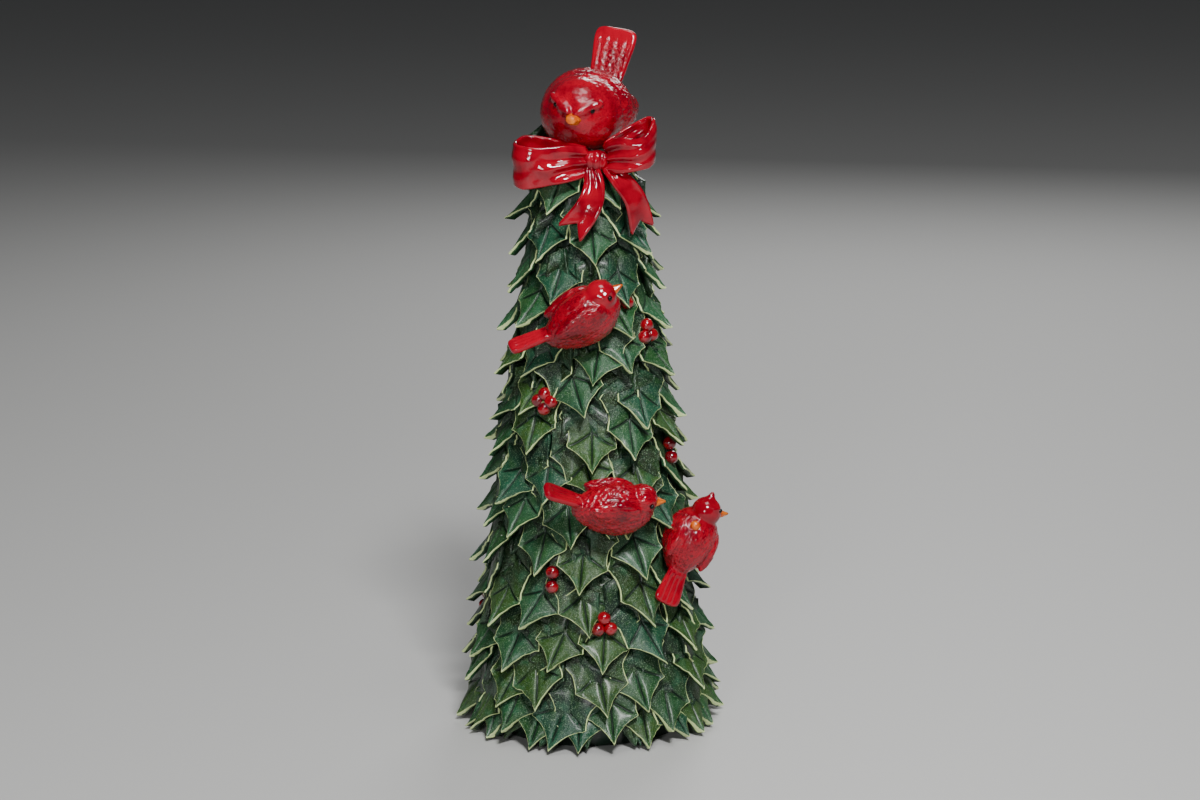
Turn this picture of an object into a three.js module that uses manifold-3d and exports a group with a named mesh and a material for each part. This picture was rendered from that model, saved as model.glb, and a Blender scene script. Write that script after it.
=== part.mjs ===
// Tabletop holly tree figurine: a tapered body clothed in overlapping rows of glazed holly leaves,
// with berry clusters, a ribbon bow at the neck, one large cardinal on top and three small ones on the side.
// Millimetres, +Z up, origin at the centre of the flat foot, front towards -Y.
import * as THREE from 'three';
import { mergeVertices } from 'three/addons/utils/BufferGeometryUtils.js';
import Module from 'manifold-3d';

const wasm = await Module();
wasm.setup();

// Driving dimensions
const gap = 0.3;                 // clearance between neighbouring pieces
const clearance = 0.6;           // clearance of a cut that is smoothed afterwards
const leafRoom = 1;              // the same round what is set among the leaves
const footRadius = 74;           // radius of the leaf-bearing skin at the foot
const taper = 0.13;              // radius lost for each millimetre of height
const skinThickness = 4;         // wall that each tier of leaves is rooted in
const bodyHeight = 372;          // top of the tapered body, under the top bird
const sides = 16;                // facets round the body
const firstFacet = 0.1;          // where they start, in radians
const mostSmoothing = 0.55;      // detail smaller than this is smoothed away
const smoothingStep = 0.95;      // share of it that is tried next where two sheets end up touching

const rowRise = 25.3;            // height from one row of leaves to the next
const firstTip = 2.5;            // height of the lowest leaf tips
const leafPitch = 36.5;          // spacing of the leaf tips round a row
const tipCircle = 85.5;          // radius of the circle of leaf tips at the foot, which that spacing is measured on
const leafRise = 17.5;           // how far a leaf's tip rises from its root, outward
const lowestRise = 0.85;         // the same for the lowest row, as a share
const leafSink = 1.6;            // how far a leaf root is sunk under the skin
const leafThickness = 2.4;
const leafFold = 2;              // how far a leaf's margin drops below its midrib
const leafSizes = [1.1, 0.96];   // size of the bottom row's leaves and of the top row's
const freeLength = 20;           // part of a leaf, from its tip, that hangs free of its tier's skin
const tierRows = [2, 2, 2, 2, 2, 2, 2];  // rows of leaves in each tier, bottom tier first
const rowCount = tierRows.reduce((sum, rows) => sum + rows);
const leafSeed = 949099;
const footLeaves = { tip: 1, rise: 14.6, size: 1.02, seed: 89 }; // between those of the lowest row, on the ground

// Half of a leaf's outline from the tip to the root: distance from the midrib, distance from the tip
const leafOutline = [[13.6, 14], [12.2, 22.5], [17.5, 31], [10, 44]];
const leafHalfWidth = 17.5;
const leafLength = 44;
const midribBend = 24;           // where the midrib is bent, from the tip
const tipRadius = (height) => tipCircle - taper * height;
const skinRadius = (height) => footRadius - taper * height;

const colours = { leaf: 0x35583f, body: 0x1c3a2b, red: 0xb3121b, beak: 0xe8862a, eye: 0x0b0a0a };
const finish = (colour, roughness) => new THREE.MeshStandardMaterial({ color: colour, roughness, metalness: 0 });
const materials = {
  leaf: finish(colours.leaf, 0.45),
  body: finish(colours.body, 0.55),
  red: finish(colours.red, 0.2),
  beak: finish(colours.beak, 0.3),
  eye: finish(colours.eye, 0.1),
};

const figurine = new THREE.Group();
const degrees = THREE.MathUtils.degToRad;

// A closed geometry as a solid that can be joined and cut
function toSolid(geometry) {
  const bare = geometry.clone();
  bare.deleteAttribute('normal');
  bare.deleteAttribute('uv');
  const merged = mergeVertices(bare, 1e-4);
  const corners = merged.index.array;
  const triangles = [];
  for (let i = 0; i < corners.length; i += 3) {
    const [a, b, c] = corners.slice(i, i + 3);
    if (a !== b && b !== c && c !== a) triangles.push(a, b, c);
  }
  return new wasm.Manifold(new wasm.Mesh({
    numProp: 3,
    vertProperties: Float32Array.from(merged.attributes.position.array),
    triVerts: Uint32Array.from(triangles),
  }));
}

function toGeometry(solid) {
  const mesh = solid.getMesh();
  const geometry = new THREE.BufferGeometry();
  geometry.setAttribute('position', new THREE.BufferAttribute(mesh.vertProperties, 3));
  geometry.setIndex(new THREE.BufferAttribute(mesh.triVerts, 1));
  return geometry;
}

const join = (solids) => solids.reduce((whole, solid) => whole.add(solid));

// True where every corner of a solid has its own spot, so that no two of its sheets touch
function isApart(solid) {
  const values = Array.from(solid.getMesh().vertProperties, (value) => value.toFixed(3));
  const spots = new Set();
  for (let i = 0; i < values.length; i += 3) spots.add(values.slice(i, i + 3).join());
  return spots.size * 3 === values.length;
}

// The largest connected piece, without loose scraps and slivers
function largestPiece(solid) {
  const larger = (best, piece) => (piece.volume() > best.volume() ? piece : best);
  for (let smoothing = mostSmoothing; smoothing > 0.01; smoothing *= smoothingStep) {
    const piece = solid.asOriginal().simplify(smoothing).decompose().reduce(larger);
    if (isApart(piece)) return piece;
  }
  throw new Error('two sheets of a solid touch at every smoothing');
}

function addPiece(name, solid, material) {
  const geometry = toGeometry(solid);
  geometry.computeVertexNormals();
  const mesh = new THREE.Mesh(geometry, material);
  mesh.name = name;
  figurine.add(mesh);
}

// The same random numbers every time
function randomFrom(seed) {
  let state = seed >>> 0;
  return () => {
    state = (state + 0x6d2b79f5) >>> 0;
    let mixed = Math.imul(state ^ (state >>> 15), state | 1);
    mixed ^= mixed + Math.imul(mixed ^ (mixed >>> 7), mixed | 61);
    return ((mixed ^ (mixed >>> 14)) >>> 0) / 4294967296;
  };
}

// Axes at a place on the skin: across to the right, up the slope, and outward
function skinFrame(turn, height, standOff = 0) {
  const angle = degrees(turn);
  const slope = Math.atan(taper);
  const across = new THREE.Vector3(Math.cos(angle), Math.sin(angle), 0);
  const up = new THREE.Vector3(-Math.sin(slope) * Math.sin(angle), Math.sin(slope) * Math.cos(angle), Math.cos(slope));
  const out = new THREE.Vector3().crossVectors(across, up);
  const radius = skinRadius(height) + standOff;
  const place = new THREE.Vector3(radius * Math.sin(angle), -radius * Math.cos(angle), height);
  return { across, up, out, place };
}

// ---- Leaves

function ringBetween(low, high, inner, outer) {
  const corners = [[inner(low), low], [outer(low), low], [outer(high), high], [inner(high), high], [inner(low), low]];
  const profile = corners.map(([radius, height]) => new THREE.Vector2(radius, height));
  return toSolid(new THREE.LatheGeometry(profile, sides, firstFacet).rotateX(Math.PI / 2));
}

function leafPlaces() {
  const random = randomFrom(leafSeed);
  const places = [];
  for (let row = 0; row < rowCount; row += 1) {
    const height = firstTip + row * rowRise;
    const count = Math.round((2 * Math.PI * tipRadius(height)) / leafPitch);
    const rowSize = THREE.MathUtils.lerp(...leafSizes, row / (rowCount - 1));
    const rowTurn = random() * (360 / count);
    for (let i = 0; i < count; i += 1) {
      places.push({
        row,
        turn: rowTurn + (i + 0.34 * (random() - 0.5)) * (360 / count),
        height: Math.max(height + 14 * (random() - 0.5), 1.5),
        lean: degrees(34 * (random() - 0.5)),
        roll: degrees(16 * (random() - 0.5)),
        rise: leafRise * (row === 0 ? lowestRise : 1) * (1 + 0.3 * (random() - 0.5)),
        size: rowSize * (1 + 0.12 * (random() - 0.5)),
      });
    }
  }
  return [...places, ...footPlaces(places.filter((place) => place.row === 0))];
}

// One leaf halfway between each leaf of the lowest row and the next
function footPlaces(lowest) {
  const random = randomFrom(footLeaves.seed);
  return lowest.map(({ turn }) => ({
    row: 0,
    turn: turn + (0.5 + 0.2 * (random() - 0.5)) * (360 / lowest.length),
    height: footLeaves.tip,
    lean: degrees(24 * (random() - 0.5)),
    roll: degrees(14 * (random() - 0.5)),
    rise: footLeaves.rise * (1 - 0.16 * random()),
    size: footLeaves.size * (1 + 0.1 * (random() - 0.5)),
  }));
}

// One leaf, folded along its midrib and curving outward to its tip; grow thickens it all round
function leafSolid(leaf, grow = 0) {
  const scaled = leafOutline.map(([across, along]) => [across * leaf.size + grow, along * leaf.size]);
  const rootEnd = leafLength * leaf.size;
  const midrib = [[0, rootEnd], [0, midribBend * leaf.size]];
  const half = new THREE.Shape([[0, -grow], ...scaled, ...midrib].map(([x, y]) => new THREE.Vector2(x, y)));
  const slab = new THREE.ExtrudeGeometry(half, { depth: leafThickness + 2 * grow, bevelEnabled: false });
  const points = slab.attributes.position;
  for (let i = 0; i < points.count; i += 1) {
    const curve = leaf.rise * ((rootEnd - points.getY(i)) / rootEnd) ** 2;
    const fold = (leafFold * points.getX(i)) / leafHalfWidth;
    points.setZ(i, points.getZ(i) - leafThickness - grow + curve - fold - leafSink);
  }
  const right = toSolid(slab);
  const { across, up, out, place } = skinFrame(leaf.turn, leaf.height);
  const pose = new THREE.Matrix4().makeBasis(across, up, out).setPosition(place)
    .multiply(new THREE.Matrix4().makeRotationZ(leaf.lean))
    .multiply(new THREE.Matrix4().makeRotationY(leaf.roll));
  return right.add(right.mirror([1, 0, 0])).transform(pose.elements);
}

// ---- Cardinals: beak towards +X, back towards +Z, until they are set in place

const smallBird = {
  bodyProfile: [[-27, 0], [-24, 6], [-17, 11.5], [-8, 16], [2, 17.6], [12, 16], [20, 10.5], [24.5, 4.5], [26, 0]],
  bodyWidth: 0.82,
  head: { place: [16.8, 0, 8.5], radius: 9.6 },
  wing: { place: [-2, 11.5, 6], radii: [17, 3.8, 9.5] },
  tail: { root: [-18, 0, 4], length: 29, rootWidth: 10, endWidth: 13, thickness: 6.5, lift: 13 },
  beak: { radius: 4.6, length: 8, reach: 15.2, drop: 1.5 },
  eye: { radius: 1.5, turn: 60, lift: 1.2 },
  crest: null,
  headTurn: 0,
  headRoll: 0,
};

const bigBird = {
  ...smallBird,
  bodyProfile: [[-34, 0], [-31, 9], [-24, 18], [-12, 25], [0, 28], [12, 26], [22, 20], [29, 10], [31, 0]],
  bodyWidth: 1.05,
  head: { place: [21, 0, 3], radius: 21.5 },
  wing: { place: [-8, 22, 1], radii: [24, 6, 14] },
  tail: { root: [-20, 3, 12], length: 42.5, rootWidth: 17, endWidth: 28, thickness: 6, lift: 66 },
  beak: { radius: 6.4, length: 9, reach: 26.5, drop: 2.2 },
  eye: { radius: 1.8, turn: 34, lift: 5 },
  crest: { radius: 6, height: 11, lean: 12 },
};

function ellipsoid(radii, place, across = 8, along = 6) {
  return toSolid(new THREE.SphereGeometry(1, across, along).scale(...radii).translate(...place));
}

function birdTail(tail) {
  const outline = new THREE.Shape();
  const end = tail.length - tail.endWidth * 0.2;
  outline.moveTo(0, -tail.rootWidth / 2);
  outline.lineTo(end, -tail.endWidth / 2);
  outline.quadraticCurveTo(tail.length + tail.endWidth * 0.15, 0, end, tail.endWidth / 2);
  outline.lineTo(0, tail.rootWidth / 2);
  const slab = new THREE.ExtrudeGeometry(outline, { depth: tail.thickness, bevelEnabled: false, curveSegments: 3 });
  slab.translate(0, 0, -tail.thickness / 2).rotateZ(Math.PI).rotateY(degrees(tail.lift)).translate(...tail.root);
  return toSolid(slab);
}

// The head's own axes: the way it looks, its left, and up
function headPose(bird) {
  return new THREE.Matrix4().makeTranslation(...bird.head.place)
    .multiply(new THREE.Matrix4().makeRotationZ(degrees(bird.headTurn)))
    .multiply(new THREE.Matrix4().makeRotationX(degrees(bird.headRoll)));
}

function beakSolid(bird, grow = 0) {
  const { radius, length, reach, drop } = bird.beak;
  const cone = new THREE.ConeGeometry(radius + grow, length + 2 * grow, 8).rotateZ(-Math.PI / 2).scale(1, 1, 0.8);
  return toSolid(cone.translate(reach - length / 2, 0, -drop).applyMatrix4(headPose(bird)));
}

function eyeSolid(bird, side, grow = 0) {
  const turn = degrees(bird.eye.turn);
  const reach = Math.sqrt((bird.head.radius - bird.eye.radius * 0.35) ** 2 - bird.eye.lift ** 2);
  const ball = new THREE.SphereGeometry(bird.eye.radius + grow, 6, 4)
    .translate(reach * Math.cos(turn), side * reach * Math.sin(turn), bird.eye.lift);
  return toSolid(ball.applyMatrix4(headPose(bird)));
}

function birdBody(bird) {
  const profile = bird.bodyProfile.map(([along, radius]) => new THREE.Vector2(radius, along));
  const trunk = new THREE.LatheGeometry(profile, 10).rotateZ(-Math.PI / 2).scale(1, bird.bodyWidth, 1);
  const forms = [toSolid(trunk), birdTail(bird.tail)];
  const headRadii = [bird.head.radius, bird.head.radius, bird.head.radius];
  forms.push(ellipsoid(headRadii, bird.head.place, 9, 6));
  for (const side of [1, -1]) {
    const [along, across, up] = bird.wing.place;
    forms.push(ellipsoid(bird.wing.radii, [along, side * across, up], 8, 5));
  }
  if (bird.crest) {
    const cone = new THREE.ConeGeometry(bird.crest.radius, bird.crest.height, 8).rotateX(Math.PI / 2)
      .translate(0, 0, bird.head.radius - bird.crest.height * 0.2).rotateY(-degrees(bird.crest.lean));
    forms.push(toSolid(cone.applyMatrix4(headPose(bird))));
  }
  return join(forms);
}

// The same bird made larger all round by grow
function grownBird(bird, grow) {
  const { head, wing, tail, crest } = bird;
  return {
    ...bird,
    bodyProfile: bird.bodyProfile.map(([along, radius]) => [along * (1 + grow / 20), radius && radius + grow]),
    head: { ...head, radius: head.radius + grow },
    wing: { ...wing, radii: wing.radii.map((radius) => radius + grow) },
    tail: {
      ...tail,
      length: tail.length + grow,
      rootWidth: tail.rootWidth + 2 * grow,
      endWidth: tail.endWidth + 2 * grow,
      thickness: tail.thickness + 2 * grow,
    },
    crest: crest && { ...crest, radius: crest.radius + grow, height: crest.height + 2 * grow },
  };
}

// The orange knob at the nape that one of the birds has
const knobSolid = ({ knob }, grow = 0) => ellipsoid([1, 1, 1].map(() => knob.radius + grow), knob.place, 8, 5);

const birdPieces = (bird) => {
  const trims = (grow) => ({
    beak: beakSolid(bird, grow),
    eye_left: eyeSolid(bird, 1, grow),
    eye_right: eyeSolid(bird, -1, grow),
    ...(bird.knob && { nape_knob: knobSolid(bird, grow) }),
  });
  const body = Object.values(trims(clearance)).reduce((whole, cut) => whole.subtract(cut), birdBody(bird));
  return { body: largestPiece(body), ...trims(0) };
};

// A pose with the beak along forward and the back as near as can be to back
function birdPose(place, forward, back) {
  const ahead = forward.clone().normalize();
  const left = new THREE.Vector3().crossVectors(back, ahead).normalize();
  const up = new THREE.Vector3().crossVectors(ahead, left);
  return new THREE.Matrix4().makeBasis(ahead, left, up).setPosition(place);
}

// A small bird on the skin, heading up from the level by heading degrees, its back up the slope and tipped outward
function sideBirdPose({ turn, height, standOff, heading, tip }) {
  const { across, up, out, place } = skinFrame(turn, height, standOff);
  const angle = degrees(heading);
  const forward = across.clone().multiplyScalar(Math.cos(angle)).addScaledVector(up, Math.sin(angle));
  const side = up.clone().multiplyScalar(Math.cos(angle)).addScaledVector(across, -Math.sin(angle));
  const back = side.multiplyScalar(Math.cos(degrees(tip))).addScaledVector(out, Math.sin(degrees(tip)));
  return birdPose(place, forward, back);
}

const birds = {
  top_cardinal: {
    bird: bigBird,
    pose: birdPose(new THREE.Vector3(3.2, 4, 391.7), new THREE.Vector3(-0.25, -0.97, 0), new THREE.Vector3(0.16, 0, 1)),
  },
  upper_cardinal: {
    bird: smallBird,
    pose: sideBirdPose({ turn: -1.5, height: 272.5, standOff: 17, heading: 31, tip: 36 }),
  },
  middle_cardinal: {
    bird: { ...smallBird, tail: { ...smallBird.tail, lift: 22 } },
    pose: sideBirdPose({ turn: 13, height: 156, standOff: 17, heading: -5, tip: 36 }),
  },
  right_cardinal: {
    bird: {
      ...smallBird,
      bodyProfile: smallBird.bodyProfile.map(([along, radius]) => [0.88 * along, radius]),
      bodyWidth: 0.95,
      head: { place: [20.5, 0, 6.5], radius: 9.6 },
      wing: { place: [-2, 12.7, 5], radii: [14, 3.6, 9] },
      tail: { ...smallBird.tail, length: 27, rootWidth: 12, endWidth: 18.5, lift: 6 },
      crest: { radius: 8.5, height: 14, lean: -12 },
      headTurn: -67,
      headRoll: -80,
      eye: { radius: 1.5, turn: 42, lift: 2.5 },
      knob: { place: [9.5, 6.5, 14], radius: 3.2 },
    },
    pose: birdPose(new THREE.Vector3(63.5, -38, 127), new THREE.Vector3(0.42, 0.24, 0.87), new THREE.Vector3(0.4, -1, 0.1)),
  },
};

// ---- Ribbon bow

const bow = {
  knot: [8, -34, 367],
  knotRadii: [8.5, 7, 6.5],
  ribbonThickness: 2.6,
  knotWidth: 11,
  loopWidth: 31,
  loopDepth: 24,
};

function loopOutline(length, depth, start) {
  const path = new THREE.Path();
  const half = depth / 2;
  path.moveTo(start, -2.5);
  path.bezierCurveTo(length * 0.3, -half * 0.8, length * 0.55, -half, length * 0.78, -half);
  path.bezierCurveTo(length * 1.07, -half, length * 1.07, half, length * 0.78, half);
  path.bezierCurveTo(length * 0.55, half, length * 0.3, half * 0.8, start, 2.5);
  path.closePath();
  return path;
}

// A loop that widens from the knot outward and climbs by lift; side is -1 for the left one.
// With grow it is the filled room that the loop takes up, larger all round.
function bowLoop({ side, length, lift }, grow = 0) {
  const wall = bow.ribbonThickness;
  const outline = new THREE.Shape(loopOutline(length + grow, bow.loopDepth + 2 * grow, 5 - grow).getPoints(6));
  if (grow === 0) {
    outline.holes.push(new THREE.Path(loopOutline(length - wall, bow.loopDepth - 2 * wall, 10).getPoints(6)));
  }
  const ring = new THREE.ExtrudeGeometry(outline, { depth: 1, bevelEnabled: false });
  const points = ring.attributes.position;
  for (let i = 0; i < points.count; i += 1) {
    const share = points.getX(i) / length;
    const width = THREE.MathUtils.lerp(bow.knotWidth, bow.loopWidth, Math.sqrt(Math.min(share, 1)));
    points.setZ(i, (points.getZ(i) - 0.5) * (width + 2 * grow) + points.getX(i) * lift);
  }
  const solid = toSolid(ring);
  const turned = side < 0 ? solid.mirror([1, 0, 0]) : solid;
  return turned.translate(bow.knot);
}

// A ribbon tail with a swallow-tailed end, laid along a curve; facing is the way its face looks
function bowTail({ route, width, endWidth, notch, facing }, grow = 0) {
  const curve = new THREE.CatmullRomCurve3(route.map((point) => new THREE.Vector3(...point)));
  const length = curve.getLength();
  const steps = 5;
  const edge = [];
  for (let i = 0; i <= steps; i += 1) {
    edge.push([i / steps, THREE.MathUtils.lerp(width, endWidth, Math.sqrt(i / steps)) / 2 + grow]);
  }
  const across = [...edge.map(([at, half]) => [at, -half]), [1 - notch / length, 0],
    ...edge.reverse().map(([at, half]) => [at, half])];
  const outline = new THREE.Shape(across.map(([at, half]) => new THREE.Vector2(at, half)));
  const slab = new THREE.ExtrudeGeometry(outline, { depth: bow.ribbonThickness + 2 * grow, bevelEnabled: false });
  const points = slab.attributes.position;
  const face = new THREE.Vector3(...facing).normalize();
  for (let i = 0; i < points.count; i += 1) {
    const at = points.getX(i);
    const ahead = curve.getTangentAt(at);
    const side = new THREE.Vector3().crossVectors(face, ahead).normalize();
    const spot = curve.getPointAt(at).addScaledVector(side, points.getY(i))
      .addScaledVector(face, points.getZ(i) - grow).addScaledVector(ahead, grow * (2 * at - 1));
    points.setXYZ(i, spot.x, spot.y, spot.z);
  }
  return toSolid(slab);
}

const loops = {
  bow_loop_left: { side: -1, length: 51, lift: -0.03 },
  bow_loop_right: { side: 1, length: 36.5, lift: 0.34 },
};
const tails = {
  bow_tail_left: {
    route: [[5, -36, 364], [6.5, -42, 352], [3, -46, 340], [-9, -46, 324]],
    width: 7, endWidth: 18, notch: 6, facing: [-0.1, -1, 0.15],
  },
  bow_tail_right: {
    route: [[14, -36, 364], [22, -40, 356], [31, -38, 343], [35.5, -34, 323.5]],
    width: 7, endWidth: 17, notch: 5, facing: [0.45, -1, 0.25],
  },
};
const bowKnot = (grow) => ellipsoid(bow.knotRadii.map((radius) => radius + grow), bow.knot, 10, 6);

// ---- Berry clusters: turn, height, and how many berries

const berry = { radius: 4.3, spread: 4.6, standOff: 6.2, stalkRadius: 3.4 };
const berryClusters = {
  berries_front_low: [7.8, 81, 3],
  berries_front_left: [-20, 109, 2],
  berries_left_high: [-30, 219, 4],
  berries_right_high: [56, 258, 3],
  berries_right_middle: [68, 181, 2],
  berries_right_top: [36, 279, 1],
  berries_side_left: [-110, 70, 3],
  berries_side_right: [138, 66, 3],
  berries_back_low: [178, 98, 3],
  berries_back_left: [-128, 165, 3],
  berries_back_right: [140, 178, 2],
  berries_back_middle: [-165, 238, 3],
  berries_back_top: [150, 268, 3],
};

function berryCluster([turn, height, count], grow = 0) {
  const { across, up, out, place } = skinFrame(turn, height, berry.standOff);
  const ball = (centre, radius) => ellipsoid([1, 1, 1].map(() => radius + grow), centre.toArray(), 6, 4);
  const balls = [ball(place.clone().addScaledVector(out, -1.5), berry.stalkRadius)];
  for (let i = 0; i < count; i += 1) {
    const angle = degrees(90 + (360 / count) * i);
    const reach = count > 1 ? berry.spread : 0;
    const centre = place.clone().addScaledVector(across, reach * Math.cos(angle))
      .addScaledVector(up, reach * Math.sin(angle));
    balls.push(ball(centre, berry.radius));
  }
  return join(balls);
}

// ---- Assembly

const coreRadius = (height) => skinRadius(height) - skinThickness - clearance;
const coreProfile = [[0, 0], [coreRadius(0), 0], [coreRadius(bodyHeight), bodyHeight], [0, bodyHeight]];
const core = toSolid(new THREE.LatheGeometry(coreProfile.map(([r, z]) => new THREE.Vector2(r, z)), sides, firstFacet)
  .rotateX(Math.PI / 2));

// What the ribbon gives way to: the knot, and the bird that sits on it
const topBird = birdBody(grownBird(birds.top_cardinal.bird, clearance)).transform(birds.top_cardinal.pose.elements);
const bowRoom = bowKnot(clearance).add(topBird);
const loopRoom = join(Object.values(loops).map((loop) => bowLoop(loop, clearance)));

const placedBirds = Object.entries(birds).map(([name, { bird, pose }]) => {
  const pieces = Object.entries(birdPieces(bird)).map(([part, solid]) => [part, solid.transform(pose.elements)]);
  return { name, pieces: Object.fromEntries(pieces) };
});

// Room that the decorations take out of the leaves, larger than each by leafRoom
const decorations = [
  ...Object.values(birds).map(({ bird, pose }) => birdBody(grownBird(bird, leafRoom)).transform(pose.elements)),
  ...Object.values(loops).map((loop) => bowLoop(loop, leafRoom)),
  ...Object.values(tails).map((tail) => bowTail(tail, leafRoom)),
  bowKnot(leafRoom),
  ...Object.values(berryClusters).map((cluster) => berryCluster(cluster, leafRoom)),
];

const underGround = toSolid(new THREE.BoxGeometry(400, 400, 50).translate(0, 0, -24.5));
const overCrown = toSolid(new THREE.BoxGeometry(400, 400, 50).translate(0, 0, bodyHeight + 31));

const leaves = leafPlaces();
let firstRow = 0;
const tiers = tierRows.map((rows, index) => {
  const low = index === 0 ? 1 : firstTip + firstRow * rowRise + freeLength;
  const lastRow = firstRow + rows;
  const high = index === tierRows.length - 1 ? bodyHeight : firstTip + lastRow * rowRise + freeLength - gap;
  const own = leaves.filter((leaf) => leaf.row >= firstRow && leaf.row < lastRow);
  firstRow = lastRow;
  const inside = (height) => skinRadius(height) - 1.5 * skinThickness;
  const skin = (grow) => ringBetween(low - grow, high + grow, inside, (z) => skinRadius(z) + grow);
  return {
    name: `foliage_tier_${index + 1}`,
    solid: join([skin(0), ...own.map((leaf) => leafSolid(leaf))]),
    room: join([skin(clearance), ...own.map((leaf) => leafSolid(leaf, clearance))]),
    skinRoom: skin(clearance),
  };
});

// A lower tier gives way to the leaves hanging over it, and every tier to the core, the decorations and the ground
const coreRoom = ringBetween(-1, bodyHeight + 30, () => 0.001, (z) => skinRadius(z) - skinThickness);
tiers.forEach(({ name, solid }, index) => {
  let cut = solid.subtract(coreRoom).subtract(underGround).subtract(overCrown);
  if (index > 0) cut = cut.subtract(tiers[index - 1].skinRoom);
  if (index < tiers.length - 1) cut = cut.subtract(tiers[index + 1].room);
  for (const room of decorations) {
    if (cut.intersect(room).volume() > 0) cut = cut.subtract(room);
  }
  addPiece(name, largestPiece(cut), materials.leaf);
});

addPiece('cone_core', core.subtract(topBird), materials.body);
for (const [name, cluster] of Object.entries(berryClusters)) {
  addPiece(name, berryCluster(cluster), materials.red);
}
for (const [name, loop] of Object.entries(loops)) {
  addPiece(name, largestPiece(bowLoop(loop).subtract(bowRoom)), materials.red);
}
for (const [name, tail] of Object.entries(tails)) {
  addPiece(name, largestPiece(bowTail(tail).subtract(bowRoom).subtract(loopRoom)), materials.red);
}
addPiece('bow_knot', bowKnot(0), materials.red);
for (const { name, pieces } of placedBirds) {
  for (const [part, solid] of Object.entries(pieces)) {
    const material = { body: materials.red, eye_left: materials.eye, eye_right: materials.eye }[part] ?? materials.beak;
    addPiece(`${name}_${part}`, solid, material);
  }
}

export default figurine;
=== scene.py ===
import math

import bmesh
import bpy
from mathutils import Matrix, Vector, noise


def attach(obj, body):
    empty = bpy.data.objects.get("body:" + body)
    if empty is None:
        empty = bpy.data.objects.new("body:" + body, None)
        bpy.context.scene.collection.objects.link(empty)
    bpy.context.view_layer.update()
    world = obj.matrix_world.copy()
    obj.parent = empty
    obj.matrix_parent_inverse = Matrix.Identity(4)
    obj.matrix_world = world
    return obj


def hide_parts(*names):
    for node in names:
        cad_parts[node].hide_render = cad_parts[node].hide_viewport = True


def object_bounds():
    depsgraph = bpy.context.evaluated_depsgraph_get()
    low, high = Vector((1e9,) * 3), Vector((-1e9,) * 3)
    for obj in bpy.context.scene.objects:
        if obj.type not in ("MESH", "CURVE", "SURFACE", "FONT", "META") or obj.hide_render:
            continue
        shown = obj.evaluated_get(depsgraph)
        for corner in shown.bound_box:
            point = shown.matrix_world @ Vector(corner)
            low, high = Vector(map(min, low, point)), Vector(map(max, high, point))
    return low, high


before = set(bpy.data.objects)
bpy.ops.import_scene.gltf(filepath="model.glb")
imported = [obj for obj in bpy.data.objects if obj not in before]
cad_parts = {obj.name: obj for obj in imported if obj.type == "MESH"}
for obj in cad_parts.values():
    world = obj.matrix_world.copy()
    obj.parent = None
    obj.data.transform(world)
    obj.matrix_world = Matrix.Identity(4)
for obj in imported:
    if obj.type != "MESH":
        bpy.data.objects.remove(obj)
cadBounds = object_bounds()
mm = 0.001
unmoved = Matrix.Identity(4)
print("frame loaded")


# the cone that everything stands on, in millimetres, by the rule of the solids

cone = {
    "footRadius": 74.0,
    "taper": 0.13,
    "bodyHeight": 372.0,
    "tipCircle": 85.5,
}


def seededDraws(seed):
    # even draws from 0 to 1, the same ones as the solids'
    state, step, word = seed, 0x6D2B79F5, 2 ** 32

    def draw():
        nonlocal state
        state = (state + step) % word
        mixed = ((state ^ (state >> 15)) * (state | 1)) % word
        mixed ^= (mixed + (mixed ^ (mixed >> 7)) * (mixed | 61)) % word
        return (mixed ^ (mixed >> 14)) / word

    return draw


def swing(draw, width):
    # an even draw round nought
    return width * (draw() - 0.5)


def smoothStep(low, high, value):
    share = min(max((value - low) / (high - low), 0.0), 1.0)
    return share * share * (3 - 2 * share)


def mix(a, b, share):
    return a + (b - a) * share


def axesMatrix(xAxis, yAxis, zAxis, place):
    rows = [[xAxis[i], yAxis[i], zAxis[i], place[i]] for i in range(3)]
    return Matrix(rows + [[0, 0, 0, 1]])


def skinFrame(turn, height, standOff=0.0):
    # x across to the right, y up the slope, z outward
    angle = math.radians(turn)
    slope = math.atan(cone["taper"])
    across = Vector((math.cos(angle), math.sin(angle), 0))
    up = Vector((-math.sin(slope) * math.sin(angle), math.sin(slope) * math.cos(angle), math.cos(slope)))
    radius = cone["footRadius"] - cone["taper"] * height + standOff
    place = Vector((radius * math.sin(angle), -radius * math.cos(angle), height))
    return axesMatrix(across, up, across.cross(up), place)


# pieces and materials

def addObject(name, data):
    made = bpy.data.objects.new(name, data)
    bpy.context.scene.collection.objects.link(made)
    return made


def finishPiece(bm, name, material, slotName, replaced, pose=None):
    # with a pose the shape comes in millimetres, without one it is in place and in metres
    if pose is not None:
        bmesh.ops.transform(bm, matrix=Matrix.Scale(mm, 4) @ pose, verts=bm.verts)
    mesh = bpy.data.meshes.new(name)
    bm.to_mesh(mesh)
    bm.free()
    mesh.polygons.foreach_set("use_smooth", [True] * len(mesh.polygons))
    mesh.materials.append(material)
    piece = addObject(name, mesh)
    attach(piece, "root")
    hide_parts(*replaced)
    return piece


def lathe(bm, profile, axis, steps):
    verts = [bm.verts.new(spot) for spot in profile]
    edges = [bm.edges.new(pair) for pair in zip(verts, verts[1:])]
    bmesh.ops.spin(bm, geom=verts + edges, cent=(0, 0, 0), axis=axis, dvec=(0, 0, 0),
                   angle=2 * math.pi, steps=steps, use_merge=True, use_duplicate=False)


def insideBox(spot):
    # no leaf tip reaches past the solids' own box
    return Vector(min(max(value, least), most) for value, least, most in zip(spot, *cadBounds))


def tone(red, green, blue):
    # a colour given from 0 to 255 as the shader's linear numbers
    return tuple(c / 3294.6 if c <= 10 else ((c / 255 + 0.055) / 1.055) ** 2.4 for c in (red, green, blue))


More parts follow.
